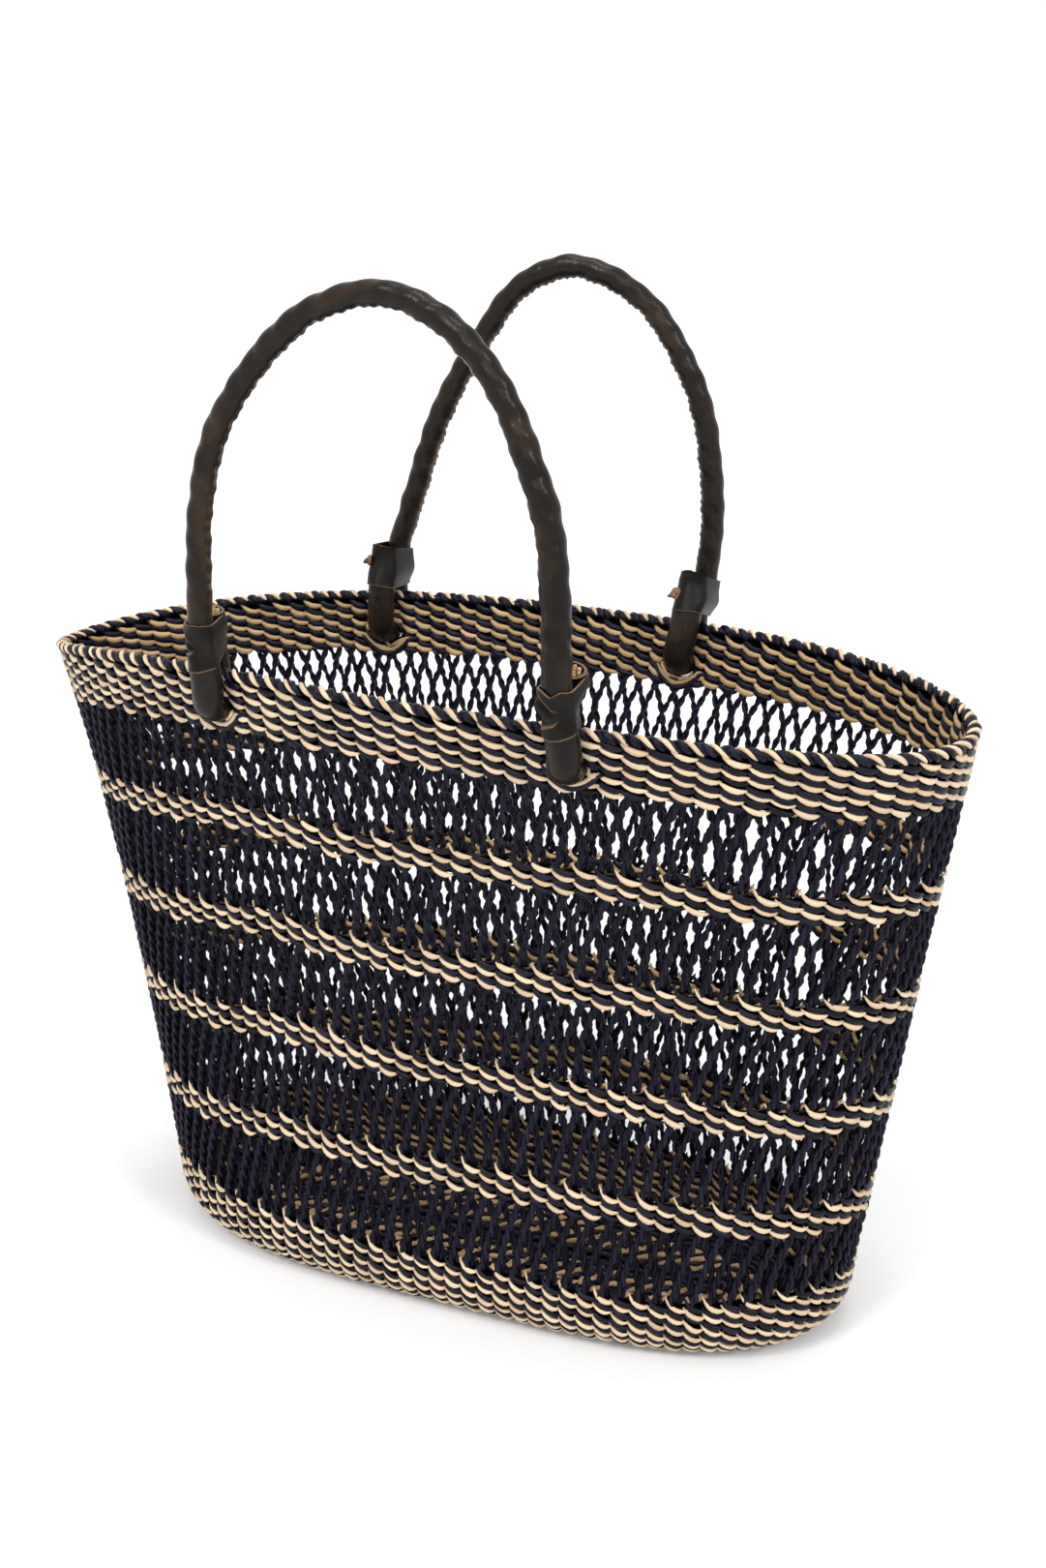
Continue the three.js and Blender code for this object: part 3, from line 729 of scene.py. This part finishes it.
border_natural, border_navy = Pile(), Pile()
teeth(border_natural, -0.12, tints("natural", PITCHES), half=1.2, radius=2.75, inside=165, outside=-40)
teeth(border_navy, 0.38, tints("navy", PITCHES), half=1.75, radius=2.55, inside=200, outside=-60)
teeth(border_navy, 0.13, tints("navy", PITCHES), half=1.2, radius=2.2, inside=215, outside=-60)
around = np.linspace(0, PITCHES, 561)[None]
cord = wall(around, BORDER_LEVEL, 0)
cord_out = unit(wall(around, BORDER_LEVEL, 1) - cord)
cord_up = unit(np.cross(unit(np.gradient(cord, axis=1)), cord_out))
border_navy.tubes(cord, cord_out * CORD_HALF_WIDTH, cord_up * CORD_HALF_HEIGHT, NAVY, 6, seed_uv=False)
build_pair("rim_border", border_natural, border_navy)

# Base: rope rings from the corner to the middle, and flat sheets inside them that close the gaps, painted
# black as the shade between the rings
BASE_LEVEL, BASE_START, SPINE_END = 3.6, -7.0, 118
BASE_STEPS = 240
RING_COUNT, GOLD_RINGS, BASE_REACH, RING_START = 10, range(5, 9), 62, 0.35
PLY_TURN_WIDE, PLY_TURN_HIGH, PLY_HALF_WIDE, PLY_HALF_HIGH = 0.42, 1.3, 0.72, 1.5
BASE_SHEETS, SHEET_WIDER = (4.0, 3.2), 1.01

base_shade, base_dark, base_gold = Pile(), Pile(), Pile()
foot_line = wall(np.linspace(0, PITCHES, BASE_STEPS + 1)[:-1], BASE_START, 0)
spine = np.stack([np.clip(foot_line[:, 0], -SPINE_END, SPINE_END), np.zeros(BASE_STEPS),
                  np.full(BASE_STEPS, BASE_LEVEL)], -1)
for ring in range(RING_COUNT):
    inward = (ring + RING_START) / RING_COUNT
    line = mix(foot_line, spine, inward)
    line[:, 2] = BASE_LEVEL
    loop = np.vstack([line, line[:1]])
    along = unit(np.gradient(loop, axis=0))
    along[0] = along[-1] = unit(along[0] + along[-1])
    normal = np.tile([0.0, 0.0, 1.0], (len(loop), 1))
    across = np.cross(along, normal)
    run = run_of(loop)
    turns = round(run[-1] / ROPE_LAY)
    width = BASE_REACH / RING_COUNT / 2
    for which in (0, 1):
        phase = 2 * np.pi * turns * run / run[-1] + which * np.pi
        middle = (loop + across * (width * PLY_TURN_WIDE * np.cos(phase))[:, None]
                  + normal * (PLY_TURN_HIGH * np.sin(phase))[:, None])
        gold = ring in GOLD_RINGS and which == 0
        pile = base_gold if gold else base_dark
        tint = tints("gold" if gold else "navy", 1)
        pile.tube(middle, across * width * PLY_HALF_WIDE, normal * PLY_HALF_HIGH, tint, 5)
edge = np.arange(BASE_STEPS)
after = (edge + 1) % BASE_STEPS
faces = np.stack([2 * edge, 2 * after, 2 * after + 1, 2 * edge + 1], -1)
# both sheets are painted black as the shade between the rope rings
for height in BASE_SHEETS:
    rows = np.stack([SHEET_WIDER * foot_line, spine], 1)
    rows[..., 2] = height
    base_shade.sheet(rows, faces, height < BASE_LEVEL)
base_shade.build("base_mat_warp_shade", "basket", "grass_dark", WARP_SHADE, ["base_mat"])
base_dark.build("base_mat_navy", "basket", "grass_dark", DARK, ["base_mat"])
base_gold.build("base_mat_natural", "basket", "grass_natural", NATURAL, ["base_mat"])


# Lines of the handles

HANDLE_STEP = 1.6
LEG_STEPS, OUTER_LEG_STEPS = 4, 5


def catmull_rom(points, per):
    """Centripetal curve through the points; per samples each span."""
    pts = np.vstack([2 * points[0] - points[1], points, 2 * points[-1] - points[-2]])
    samples, where = [], []
    for k in range(len(points) - 1):
        p0, p1, p2, p3 = pts[k:k + 4]
        d0, d1, d2 = [max(np.linalg.norm(b - c) ** 0.5, 1e-4) for b, c in ((p1, p0), (p2, p1), (p3, p2))]
        t1 = ((p1 - p0) / d0 - (p2 - p0) / (d0 + d1) + (p2 - p1) / d1) * d1
        t2 = ((p2 - p1) / d1 - (p3 - p1) / (d1 + d2) + (p3 - p2) / d2) * d1
        steps = max(int(np.ceil(np.linalg.norm(p2 - p1) / per)), 1)
        t = np.arange(steps) / steps
        if k == len(points) - 2:
            t = np.append(t, 1.0)
        t = t[:, None]
        square, cube = -3 * p1 + 3 * p2 - 2 * t1 - t2, 2 * p1 - 2 * p2 + t1 + t2
        samples.append(p1 + t1 * t + square * t ** 2 + cube * t ** 3)
        where.append(k + t[:, 0])
    return np.vstack(samples), np.concatenate(where)


def leg_offset(height):
    """Distance of a leg from the wall's middle: the legs come together at the keeper."""
    return LEG_OFFSET + (LEG_TOGETHER - LEG_OFFSET) * smooth(height, 0.85 * KEEPER_LOW, 0.9 * KEEPER_HIGH)


def leg_tuck(handle, end, side, height):
    """Sideways bend of the outer (side 1) or inner (side -1) leg, below and at the keeper's top."""
    low, high = handle["tuck"][0 if side > 0 else 1 + (end > 0)]
    return mix(low * smooth(height, -2, 10 if side < 0 else 20), high, smooth(height, 25, 43))


def foot_points(handle, foot):
    """Points from the inner leg's end through the hole to the keeper's top on the outer leg."""
    points = []

    def leg(side, start, stop, steps):
        for i in range(steps + 1):
            height = start + (stop - start) * i / steps
            tuck = leg_tuck(handle, foot["end"], side, height)
            points.append(foot["at"](side * leg_offset(height), height, tuck))

    leg(-1, KEEPER_HIGH - handle["stump"], LEG_OFFSET, LEG_STEPS)
    for degrees in range(30, 180, 30):
        angle = math.radians(degrees)
        height = LEG_OFFSET - (LEG_OFFSET - handle["rise"]) * math.sin(angle)
        inner = leg_tuck(handle, foot["end"], -1, height) * max(math.cos(angle), 0)
        points.append(foot["at"](-LEG_OFFSET * math.cos(angle), height, inner))
    leg(1, LEG_OFFSET, KEEPER_HIGH, OUTER_LEG_STEPS)
    return points


def handle_shape(handle):
    """The handle's middle line, and at each of its points the two ways across it and the seam's angle."""
    left, right = [foot_points(handle, foot_frame(handle, end)) for end in (-1, 1)]
    middle = (left[-1] + right[-1]) / 2
    chord = right[-1] - left[-1]
    chord[2] = 0
    chord = unit(chord)
    rise = handle["top"] - middle[2]
    lean = np.array([0, handle["side"] * math.tan(math.radians(handle["lean"])), 0])
    arch = [middle + chord * span * handle["half"] + np.array([0, 0, up * rise]) + lean * up * rise
            for span, up in handle["arch"]]
    points = np.array(left + arch + right[::-1])
    line, where = catmull_rom(points, HANDLE_STEP)
    from_end = np.minimum(where, where[-1] - where)
    tangent = unit(np.gradient(line, axis=0))
    across = np.empty_like(line)
    current = chord
    for k in range(len(line)):
        current = unit(current - tangent[k] * (current @ tangent[k]))
        across[k] = current
    other = np.cross(tangent, across)
    # the seam faces the middle of the arch
    centre = line.mean(0)
    centre[2] = line[:, 2].max() - handle["half"]
    inward = centre - line
    inward = unit(inward - tangent * np.sum(inward * tangent, 1, keepdims=True))
    seam = np.arctan2(np.sum(inward * other, 1), np.sum(inward * across, 1))
    feet = len(left)
    return dict(line=line, chord=chord, across=across, other=other, seam=seam, run=run_of(line), feet=feet,
                flat=1 - smooth(from_end, feet - 5, feet - 1), from_end=from_end,
                from_right=where[-1] - where)


# Leather of the handles

WRAP_SIDES = 36
WRAP_IN, WRAP_THICK = 0.35, 1.1
# Height, length and slant of the stitches, how far they spread round the seam, depth and sway of its groove,
# how worn its edge is, and how much fuller the feet are
LACING = {
    "front": dict(height=0.46, length=6.2, slant=1.5, spread=0.55, groove=0.5, sway=0.12, worn=0.1,
                  fuller=0.1),
    "back": dict(height=0.6, length=4.4, slant=3, spread=0.75, groove=0.45, sway=0, worn=0.35,
                 fuller=0.07),
}
RIGHT_LEG_FULLER, RIGHT_LEG_DARKER = 0.14, 0.38


def wander(x, seed):
    """Smooth random curve between -1 and 1."""
    knots = np.random.default_rng(seed).uniform(-1, 1, int(np.ceil(x.max())) + 3)
    k = np.floor(x).astype(int)
    f = x - k
    f = f * f * (3 - 2 * f)
    return mix(knots[k], knots[k + 1], f)


def wrap_surface(name, order, shape, angle):
    """Radius and colour of the leather at each point of the line and each angle round it."""
    front, lacing, feet = name == "front", LACING[name], shape["feet"]
    columns = [shape[key][:, None] for key in ("run", "flat", "from_end", "from_right")]
    run, flat, from_end, from_right = columns

    def drift(length, seed):
        return wander(shape["run"] / length, seed + order)[:, None]

    rel = (angle[None] - shape["seam"][:, None] + np.pi) % (2 * np.pi) - np.pi
    on_arch = smooth(from_end, feet - 1.5, feet + 0.5)
    lumps = 0.34 * drift(11, 5) * np.cos(angle - 1.1) + 0.34 * drift(13, 15) * np.sin(angle + 0.4)
    lumps = lumps + 0.22 * drift(8, 25)
    winding = 0.27 * np.sin(run * 2 * np.pi / 13 + 2 * angle + order)
    winding = winding + 0.12 * np.sin(run * 2 * np.pi / 23 + angle + order)
    turns = np.cos(run * 2 * np.pi / lacing["length"] + rel * lacing["slant"])
    stitch = lacing["height"] * turns * np.exp(-(rel / lacing["spread"]) ** 2)
    groove = -lacing["groove"] * np.exp(-((rel - lacing["sway"] * np.sin(run / 9)) / 0.10) ** 2)
    radius = HANDLE_RADIUS - WRAP_IN + on_arch * (lumps + winding + stitch + groove) + (1 - on_arch) * 0.1
    # both feet and the right leg are fuller on the front handle, the right foot alone on the back one
    thick = lacing["fuller"] * flat
    if front:
        thick = np.maximum(thick, RIGHT_LEG_FULLER * (1 - smooth(from_right, feet + 0.5, feet + 5.5)))
    else:
        thick = thick * (from_right < feet)

    patch = smooth(drift(17, 35) + 0.6 * np.sin(angle * 2 + run / 15), 0.1, 1.0)[..., None]
    tint = mix(HIDE, HIDE_BROWN, patch)
    worn = lacing["worn"] * np.exp(-(rel / 0.5) ** 2) * on_arch * (0.5 + 0.5 * drift(5, 45))
    if not front:
        flecks = (turns > 0.55) * np.exp(-(rel / 0.35) ** 2)
        worn = np.clip(worn * 0.5 + 0.6 * flecks * smooth(drift(9, 54), -0.2, 0.6) * on_arch, 0, 1)
    tint = mix(tint, HIDE_TAN, worn[..., None])
    if front:
        # blacker down the right leg
        lighter = RIGHT_LEG_DARKER * smooth(from_right, feet + 1.5, feet + 6)
        tint = tint * (1 - RIGHT_LEG_DARKER + lighter)[..., None]
    return radius * (1 + thick), tint


def leather(name, order, shape):
    """Leather wrap of a handle, turned in at both ends."""
    angle = spokes(WRAP_SIDES)
    radius, tint = wrap_surface(name, order, shape, angle)
    line, chord = shape["line"][:, None], shape["chord"]
    turned = np.cos(angle)[None, :, None], np.sin(angle)[None, :, None]
    spoke = shape["across"][:, None] * turned[0] + shape["other"][:, None] * turned[1]
    spoke = spoke * radius[..., None]
    spoke = spoke + chord * ((FOOT_WIDENING - 1) * shape["flat"][:, None] * (spoke @ chord))[..., None]
    skin = line + spoke
    inner = line + spoke * ((HANDLE_RADIUS - WRAP_THICK) / HANDLE_RADIUS)
    wrap = Pile()
    wrap.grid(skin, tint, (0.16, 1 / WRAP_SIDES))
    for at, depth in ((0, 4), (-1, -5)):
        for rows, colour in (((skin[at], inner[at]), EDGE_TAN), ((inner[at], inner[depth]), HIDE)):
            wrap.grid(np.stack(rows if at else rows[::-1]), colour, (0.1, 1 / WRAP_SIDES))
    wrap.build(f"{name}_handle_leather", f"{name}_handle", "handle_leather", LEATHER, [f"{name}_handle_wrap"])


# Stalks inside the handles

STALK_STEP = 4
# Number of stalks in each ring, and the ring's distance from the middle
STALK_RINGS = ((1, 0.0), (5, 2.1), (9, 3.9))


def stalk_bundle(name, shape):
    """Stalks that fill the wrap and end unevenly."""
    stalks = Pile()
    count = len(shape["line"])
    picked = np.unique(np.r_[np.arange(0, count, STALK_STEP), count - 1])
    line, across, other, flat = [shape[key][picked] for key in ("line", "across", "other", "flat")]
    for ring, (number, far) in enumerate(STALK_RINGS):
        for k in range(number):
            turn = 2 * np.pi * k / number + ring
            away = (across * np.cos(turn) + other * np.sin(turn)) * far
            centre = line + away
            centre = centre + shape["chord"] * ((FOOT_WIDENING - 1) * flat * (away @ shape["chord"]))[:, None]
            for at, step in ((0, 1), (-1, -1)):
                end_step = (centre[at] - centre[at + step]) / (STALK_STEP * HANDLE_STEP)
                centre[at] += end_step * rng.uniform(-0.4, 1.0)
            size = rng.uniform(0.85, 1.1)
            stalks.tube(centre, across * size, other * size, tints("stalk", 1))
    stalks.build(f"{name}_handle_stalks", f"{name}_handle", "stalks", STALK, [f"{name}_handle_core"])


for order, (name, handle) in enumerate(HANDLES.items()):
    shape = handle_shape(handle)
    leather(name, order, shape)
    stalk_bundle(name, shape)


# Keepers

STRIP_THICK = 0.95
STRIP_AROUND, STRIP_TALL = 144, 52
STRIP_SEED = 101
# room is the strip's distance from the legs and bulge how far it stands out on one side. Front strips: notch
# and drop shape the upper edge, and pleats open from apex to end (degrees round the strip), from middle to
# wide_up and wide_low (shares of its height), hollow deep. Back strips: the tail's height and turn.
STRIPS = {
    ("front", "left"): dict(room=0.25, bulge=0.9, notch=-34, notch_deep=1.2, drop=4.5, apex=6, middle=0.47,
                            end=-70, wide_up=0.44, wide_low=0.15, hollow=0.75, worn=(0.4, 0.7)),
    ("front", "right"): dict(room=0.95, bulge=2.6, notch=2, notch_deep=2.8, drop=6.2, apex=33, middle=0.50,
                             end=-66, wide_up=0.46, wide_low=0.36, hollow=1.1, worn=(0.1, 0.4)),
    ("back", "left"): dict(room=0.25, bulge=1.7, tail_share=0.58, tail_turn=-136),
    ("back", "right"): dict(room=0.25, bulge=2.9, tail_share=0.42, tail_turn=-140),
}


def strip_edges(front, strip, degrees, angle, phase):
    """How far the strip's lower and upper edges stray from the keeper's ends."""
    low, high = [0.5 * np.sin(angle + phase[k]) + 0.3 * np.sin(2 * angle + phase[k + 1]) for k in (0, 2)]
    if front:
        notch = np.maximum(1 - np.abs(degrees - strip["notch"]) / 34, 0)
        high = high - strip["notch_deep"] * notch ** 1.1 - strip["drop"] * (0.5 - 0.5 * np.cos(angle)) ** 1.2
        low = low + bump(degrees, 60, 50) - 0.8 * bump(degrees, -20, 60)
    else:
        # lower on the outer side
        high = high - 4.2 * bump(degrees, 50, 80) - bump(degrees, -108, 30)
        low = low - 0.8 * bump(degrees, 90, 60)
    return low, high


def pleats(strip, degrees, share):
    """What pleats that open to the left add to a front strip, and where it is worn and shaded."""
    apex, middle = strip["apex"], strip["middle"]
    opening = (np.clip((apex - degrees) / (apex - strip["end"]), 0, 1.15) * smooth(degrees, -150, -110))[None]
    lower = middle - strip["wide_low"] * opening ** 0.8
    upper = middle + strip["wide_up"] * opening ** 0.9
    within = smooth(share, lower - 0.012, lower + 0.03) * (1 - smooth(share, upper - 0.03, upper + 0.012))
    within = within * smooth(opening, 0.0, 0.12)
    half = np.maximum((upper - lower) / 2, 0.05)
    folds = np.sin((share - middle) / half * 5 + 1) * smooth(opening, 0.1, 0.4)
    fade = 1 - smooth(opening, 0.7, 1.15)
    lip_up, lip_low = [np.exp(-((share - at) / 0.022) ** 2) * smooth(opening, 0.05, 0.2)
                       for at in (upper + 0.015, lower - 0.015)]
    added = within * (0.38 * folds - strip["hollow"] * (0.35 + 0.65 * fade)) + 0.4 * lip_up + 0.35 * lip_low
    added = added + strip["bulge"] * bump(degrees, -62, 42)[None] * bump(share, 0.66, 0.24)
    # a slight bulge on the right
    added = added + 0.5 * bump(degrees, 120, 30)[None] * np.sin(np.pi * share)
    worn_up = lip_up * (0.2 + 0.8 * smooth(opening, *strip["worn"]))
    worn = np.maximum(worn_up, lip_low * smooth(opening, 0.06, 0.3))
    return added, worn, within * (0.68 - 0.3 * folds) * (0.45 + 0.55 * fade)


def keeper(name, label, seed):
    """Leather strip round both legs. On the front it is pleated, on the back its cut end stands out."""
    handle, strip, end = HANDLES[name], STRIPS[name, label], 1 if label == "right" else -1
    foot = foot_frame(handle, end)
    angle = spokes(STRIP_AROUND)
    share = np.linspace(0, 1, STRIP_TALL)[:, None]
    phase = np.random.default_rng(seed).uniform(0, 6, 4)
    degrees = (np.degrees(angle) + 180) % 360 - 180
    front = name == "front"
    low_edge, high_edge = strip_edges(front, strip, degrees, angle, phase)
    height = mix(KEEPER_LOW + low_edge, KEEPER_HIGH + high_edge, share)
    outer_leg = smooth(np.cos(angle), -0.34, 0.34)[None]

    def shell(offset):
        reach = (2 * outer_leg - 1) * leg_offset(height) + offset * np.cos(angle)[None]
        tuck = mix(leg_tuck(handle, end, -1, height), leg_tuck(handle, end, 1, height), outer_leg)
        side = offset * (1 + 0.04 * (1 - share)) * np.sin(angle)[None] + tuck + foot["lean"](height)
        return (foot["hole"] + foot["out"] * reach[..., None] + foot["up"] * height[..., None]
                + foot["along"] * side[..., None])

    around_legs = HANDLE_RADIUS + strip["room"] + STRIP_THICK
    wrinkle = (0.16 * np.sin(share * 7 + 2 * np.sin(angle)[None] + phase[0])
               + 0.12 * np.sin(angle[None] * 4 + share * 5 + phase[1]))
    if front:
        added, worn, shade = pleats(strip, degrees, share)
    else:
        worn, shade = np.zeros((2,) + height.shape)
        added = strip["bulge"] * bump(degrees, 66, 52)[None] * bump(share, 0.38, 0.3)
        added = added - 0.6 * smooth(share, 0.8, 1.0) * bump(degrees, -150, 60)[None]
    offset = around_legs + wrinkle + added
    offset = offset + 0.22 * (1 - smooth(share, 0, 0.06)) + 0.18 * smooth(share, 0.95, 1.0)
    outer, inner = shell(offset), shell(offset - STRIP_THICK)

    hide = STRIP_HIDE * (1.0 if front else 0.8)
    tone = np.clip(0.5 + 0.5 * np.sin(angle[None] * 2 + share * 5 + phase[3]), 0, 1)[..., None]
    tint = hide * (0.75 + 0.5 * tone) * (1 - shade[..., None])
    tint = mix(tint, EDGE_TAN, 0.8 * worn[..., None])
    tint = mix(tint, EDGE_TAN, (1 - smooth(share, 0.0, 0.03))[..., None] * (1.0 if front else 0.45))
    pile = Pile()
    pile.grid(outer, tint, (0.05, 4 / STRIP_AROUND))
    pile.grid(inner[::-1], hide, (0.05, 4 / STRIP_AROUND))
    for at in (0, -1):
        edge = np.stack([outer[at], (outer[at] + inner[at]) / 2, inner[at]])
        pile.grid(edge if at else edge[::-1], EDGE_TAN, (0.1, 4 / STRIP_AROUND))
    if not front:
        tail(pile, foot, label, strip, around_legs)
    pile.build(f"{name}_keeper_{label}_strip", f"{name}_handle", "keeper_leather", KEEPER,
               [f"{name}_keeper_{label}"])


def tail(pile, foot, label, strip, radius):
    """Cut end of a back keeper's strip: it stands out to the left, inside the bag."""
    along, up, out = foot["along"], foot["up"], foot["out"]
    high = KEEPER_LOW + strip["tail_share"] * (KEEPER_HIGH - KEEPER_LOW)
    turn = math.radians(strip["tail_turn"])
    base = foot["at"](-leg_offset(high) + radius * math.cos(turn), high, radius * math.sin(turn))
    t = np.linspace(0, 1, 9)[:, None]
    if label == "left":
        # rolled into a knob
        way = -along * 0.93 - out * 0.36
        centre = base + way * (4.4 * t + 0.2) - up * 1.4 * t ** 2
        size = np.array([2.2, 2.8, 3.1, 2.9, 2.0, 1.5, 1.45, 1.2, 0.5])[:, None]
        tint = CUT_BROWN * np.array([0.6, 0.9, 1.1, 1.0, 0.5, 0.35, 0.6, 0.6, 0.5])[:, None]
        pile.tube(centre, up * size, np.cross(way, up) * size * 0.8, tint, 10)
        return
    # flat, cut to a point, with a small hole painted on both faces as a black spot of shade
    way = unit(-along * 0.88 - out * 0.30 - up * 0.36)
    wide = unit(up - way * (up @ way) - along * 0.15)
    flat = np.cross(way, wide)
    centre = base + way * (7.6 * t - 1.2)
    size = np.array([2.6, 3.3, 3.7, 3.6, 3.1, 2.2, 1.3, 0.8, 0.4])[:, None]
    tint = CUT_BROWN * np.array([0.7, 0.9, 1.0, 1.0, 1.1, 0.9, 0.7, 0.5, 0.4])[:, None]
    pile.tube(centre, wide * size, np.tile(flat * 0.75, (len(t), 1)), tint, 8)
    # the hole is painted shade: a black disc on each face
    hole_shade_size = np.array([[0.5], [0.42]])
    for face in (1, -1):
        hole_shade = base + way * 1.6 + wide * 0.1 + flat * face * np.array([[0.70], [0.80]])
        pile.tube(hole_shade, wide * hole_shade_size, way * hole_shade_size, BLACK, 8)


for number, (name, label) in enumerate(STRIPS):
    keeper(name, label, STRIP_SEED + number)


# Stage

FLOOR_SIZE, FLOOR_LEVEL = 60, -0.0005
PAPER_COLOUR, PAPER_LIFT = (0.92, 0.93, 0.94, 1), 0.12
WHITE = (1, 1, 1, 1)
SKY_STRENGTH = 0.45

bpy.ops.mesh.primitive_plane_add(size=FLOOR_SIZE, location=(0, 0, FLOOR_LEVEL))
floor = bpy.context.object
floor.name = "floor"


def seen_directly(nodes, links):
    """1 for rays from the camera, straight or by way of a mirror or glass; 0 for the light on the object."""
    path = nodes.new("ShaderNodeLightPath")
    total = path.outputs["Is Camera Ray"]
    for kind in ("Is Glossy Ray", "Is Transmission Ray"):
        either = nodes.new("ShaderNodeMath")
        either.operation = "MAXIMUM"
        links.new(total, either.inputs[0])
        links.new(path.outputs[kind], either.inputs[1])
        total = either.outputs["Value"]
    return total


# White paper: part of what it lacks to white is added for the eye alone, and shadows stay
paper = bpy.data.materials.new("paper")
paper.use_nodes = True
nodes, links = paper.node_tree.nodes, paper.node_tree.links
sheet = nodes["Principled BSDF"]
fill_in(sheet, {"Base Color": PAPER_COLOUR, "Roughness": 0.9, "Specular IOR Level": 0.0,
                "Emission Color": WHITE})
lift = nodes.new("ShaderNodeMath")
lift.operation = "MULTIPLY"
lift.inputs[1].default_value = PAPER_LIFT
links.new(seen_directly(nodes, links), lift.inputs[0])
links.new(lift.outputs["Value"], sheet.inputs["Emission Strength"])
floor.data.materials.append(paper)

# White room: full white for the eye, less as light on the object
world = bpy.data.worlds.new("studio")
scene.world = world
world.use_nodes = True
nodes, links = world.node_tree.nodes, world.node_tree.links
background = nodes["Background"]
fill_in(background, {"Color": WHITE, "Strength": SKY_STRENGTH})
white = nodes.new("ShaderNodeBackground")
fill_in(white, {"Color": WHITE, "Strength": 1.0})
switch = nodes.new("ShaderNodeMixShader")
links.new(seen_directly(nodes, links), switch.inputs["Fac"])
links.new(background.outputs["Background"], switch.inputs[1])
links.new(white.outputs["Background"], switch.inputs[2])
links.new(switch.outputs["Shader"], nodes["World Output"].inputs["Surface"])


# Light

def sun(name, direction, spread, power):
    """A sun that stands in the given direction, spread in degrees."""
    data = bpy.data.lights.new(name, "SUN")
    data.angle = math.radians(spread)
    data.energy = power
    obj = bpy.data.objects.new(name, data)
    scene.collection.objects.link(obj)
    obj.rotation_euler = Vector(direction).to_track_quat("Z", "Y").to_euler()


sun("key", (-0.35, -1.0, 1.15), 16, 0.8)
sun("fill", (0.2, -0.95, 1.15), 50, 0.9)
sun("side", (1.0, -0.45, 0.9), 16, 0.7)
sun("top", (0, 0.12, 1.3), 24, 0.85)

# Camera
AZIMUTH, ELEVATION, ROLL = [math.radians(degrees) for degrees in (22.28, 19.06, 1.5)]
TARGET, DISTANCE, SIDEWAYS = Vector((-0.014, 0, 0.2565)), 1.1, 0.01583
SENSOR, FOCAL_PIXELS, PHOTO_HEIGHT = 36, 2284.9, 1620

back = Vector((math.sin(AZIMUTH) * math.cos(ELEVATION), -math.cos(AZIMUTH) * math.cos(ELEVATION),
               math.sin(ELEVATION)))
right = Vector((math.cos(AZIMUTH), math.sin(AZIMUTH), 0))
up = right.cross(-back)
right_rolled = right * math.cos(ROLL) + up * math.sin(ROLL)
up_rolled = -right * math.sin(ROLL) + up * math.cos(ROLL)
place = back * DISTANCE + right * SIDEWAYS + TARGET
camera_data = bpy.data.cameras.new("camera")
camera = bpy.data.objects.new("camera", camera_data)
scene.collection.objects.link(camera)
columns = (right_rolled, up_rolled, back, place)
camera.matrix_world = Matrix([[column[k] for column in columns] for k in range(3)] + [[0, 0, 0, 1]])
camera_data.sensor_width = SENSOR
camera_data.lens = SENSOR * FOCAL_PIXELS / PHOTO_HEIGHT
camera_data.clip_start, camera_data.clip_end = 0.05, 100
scene.camera = camera
scene.view_settings.view_transform = "Standard"
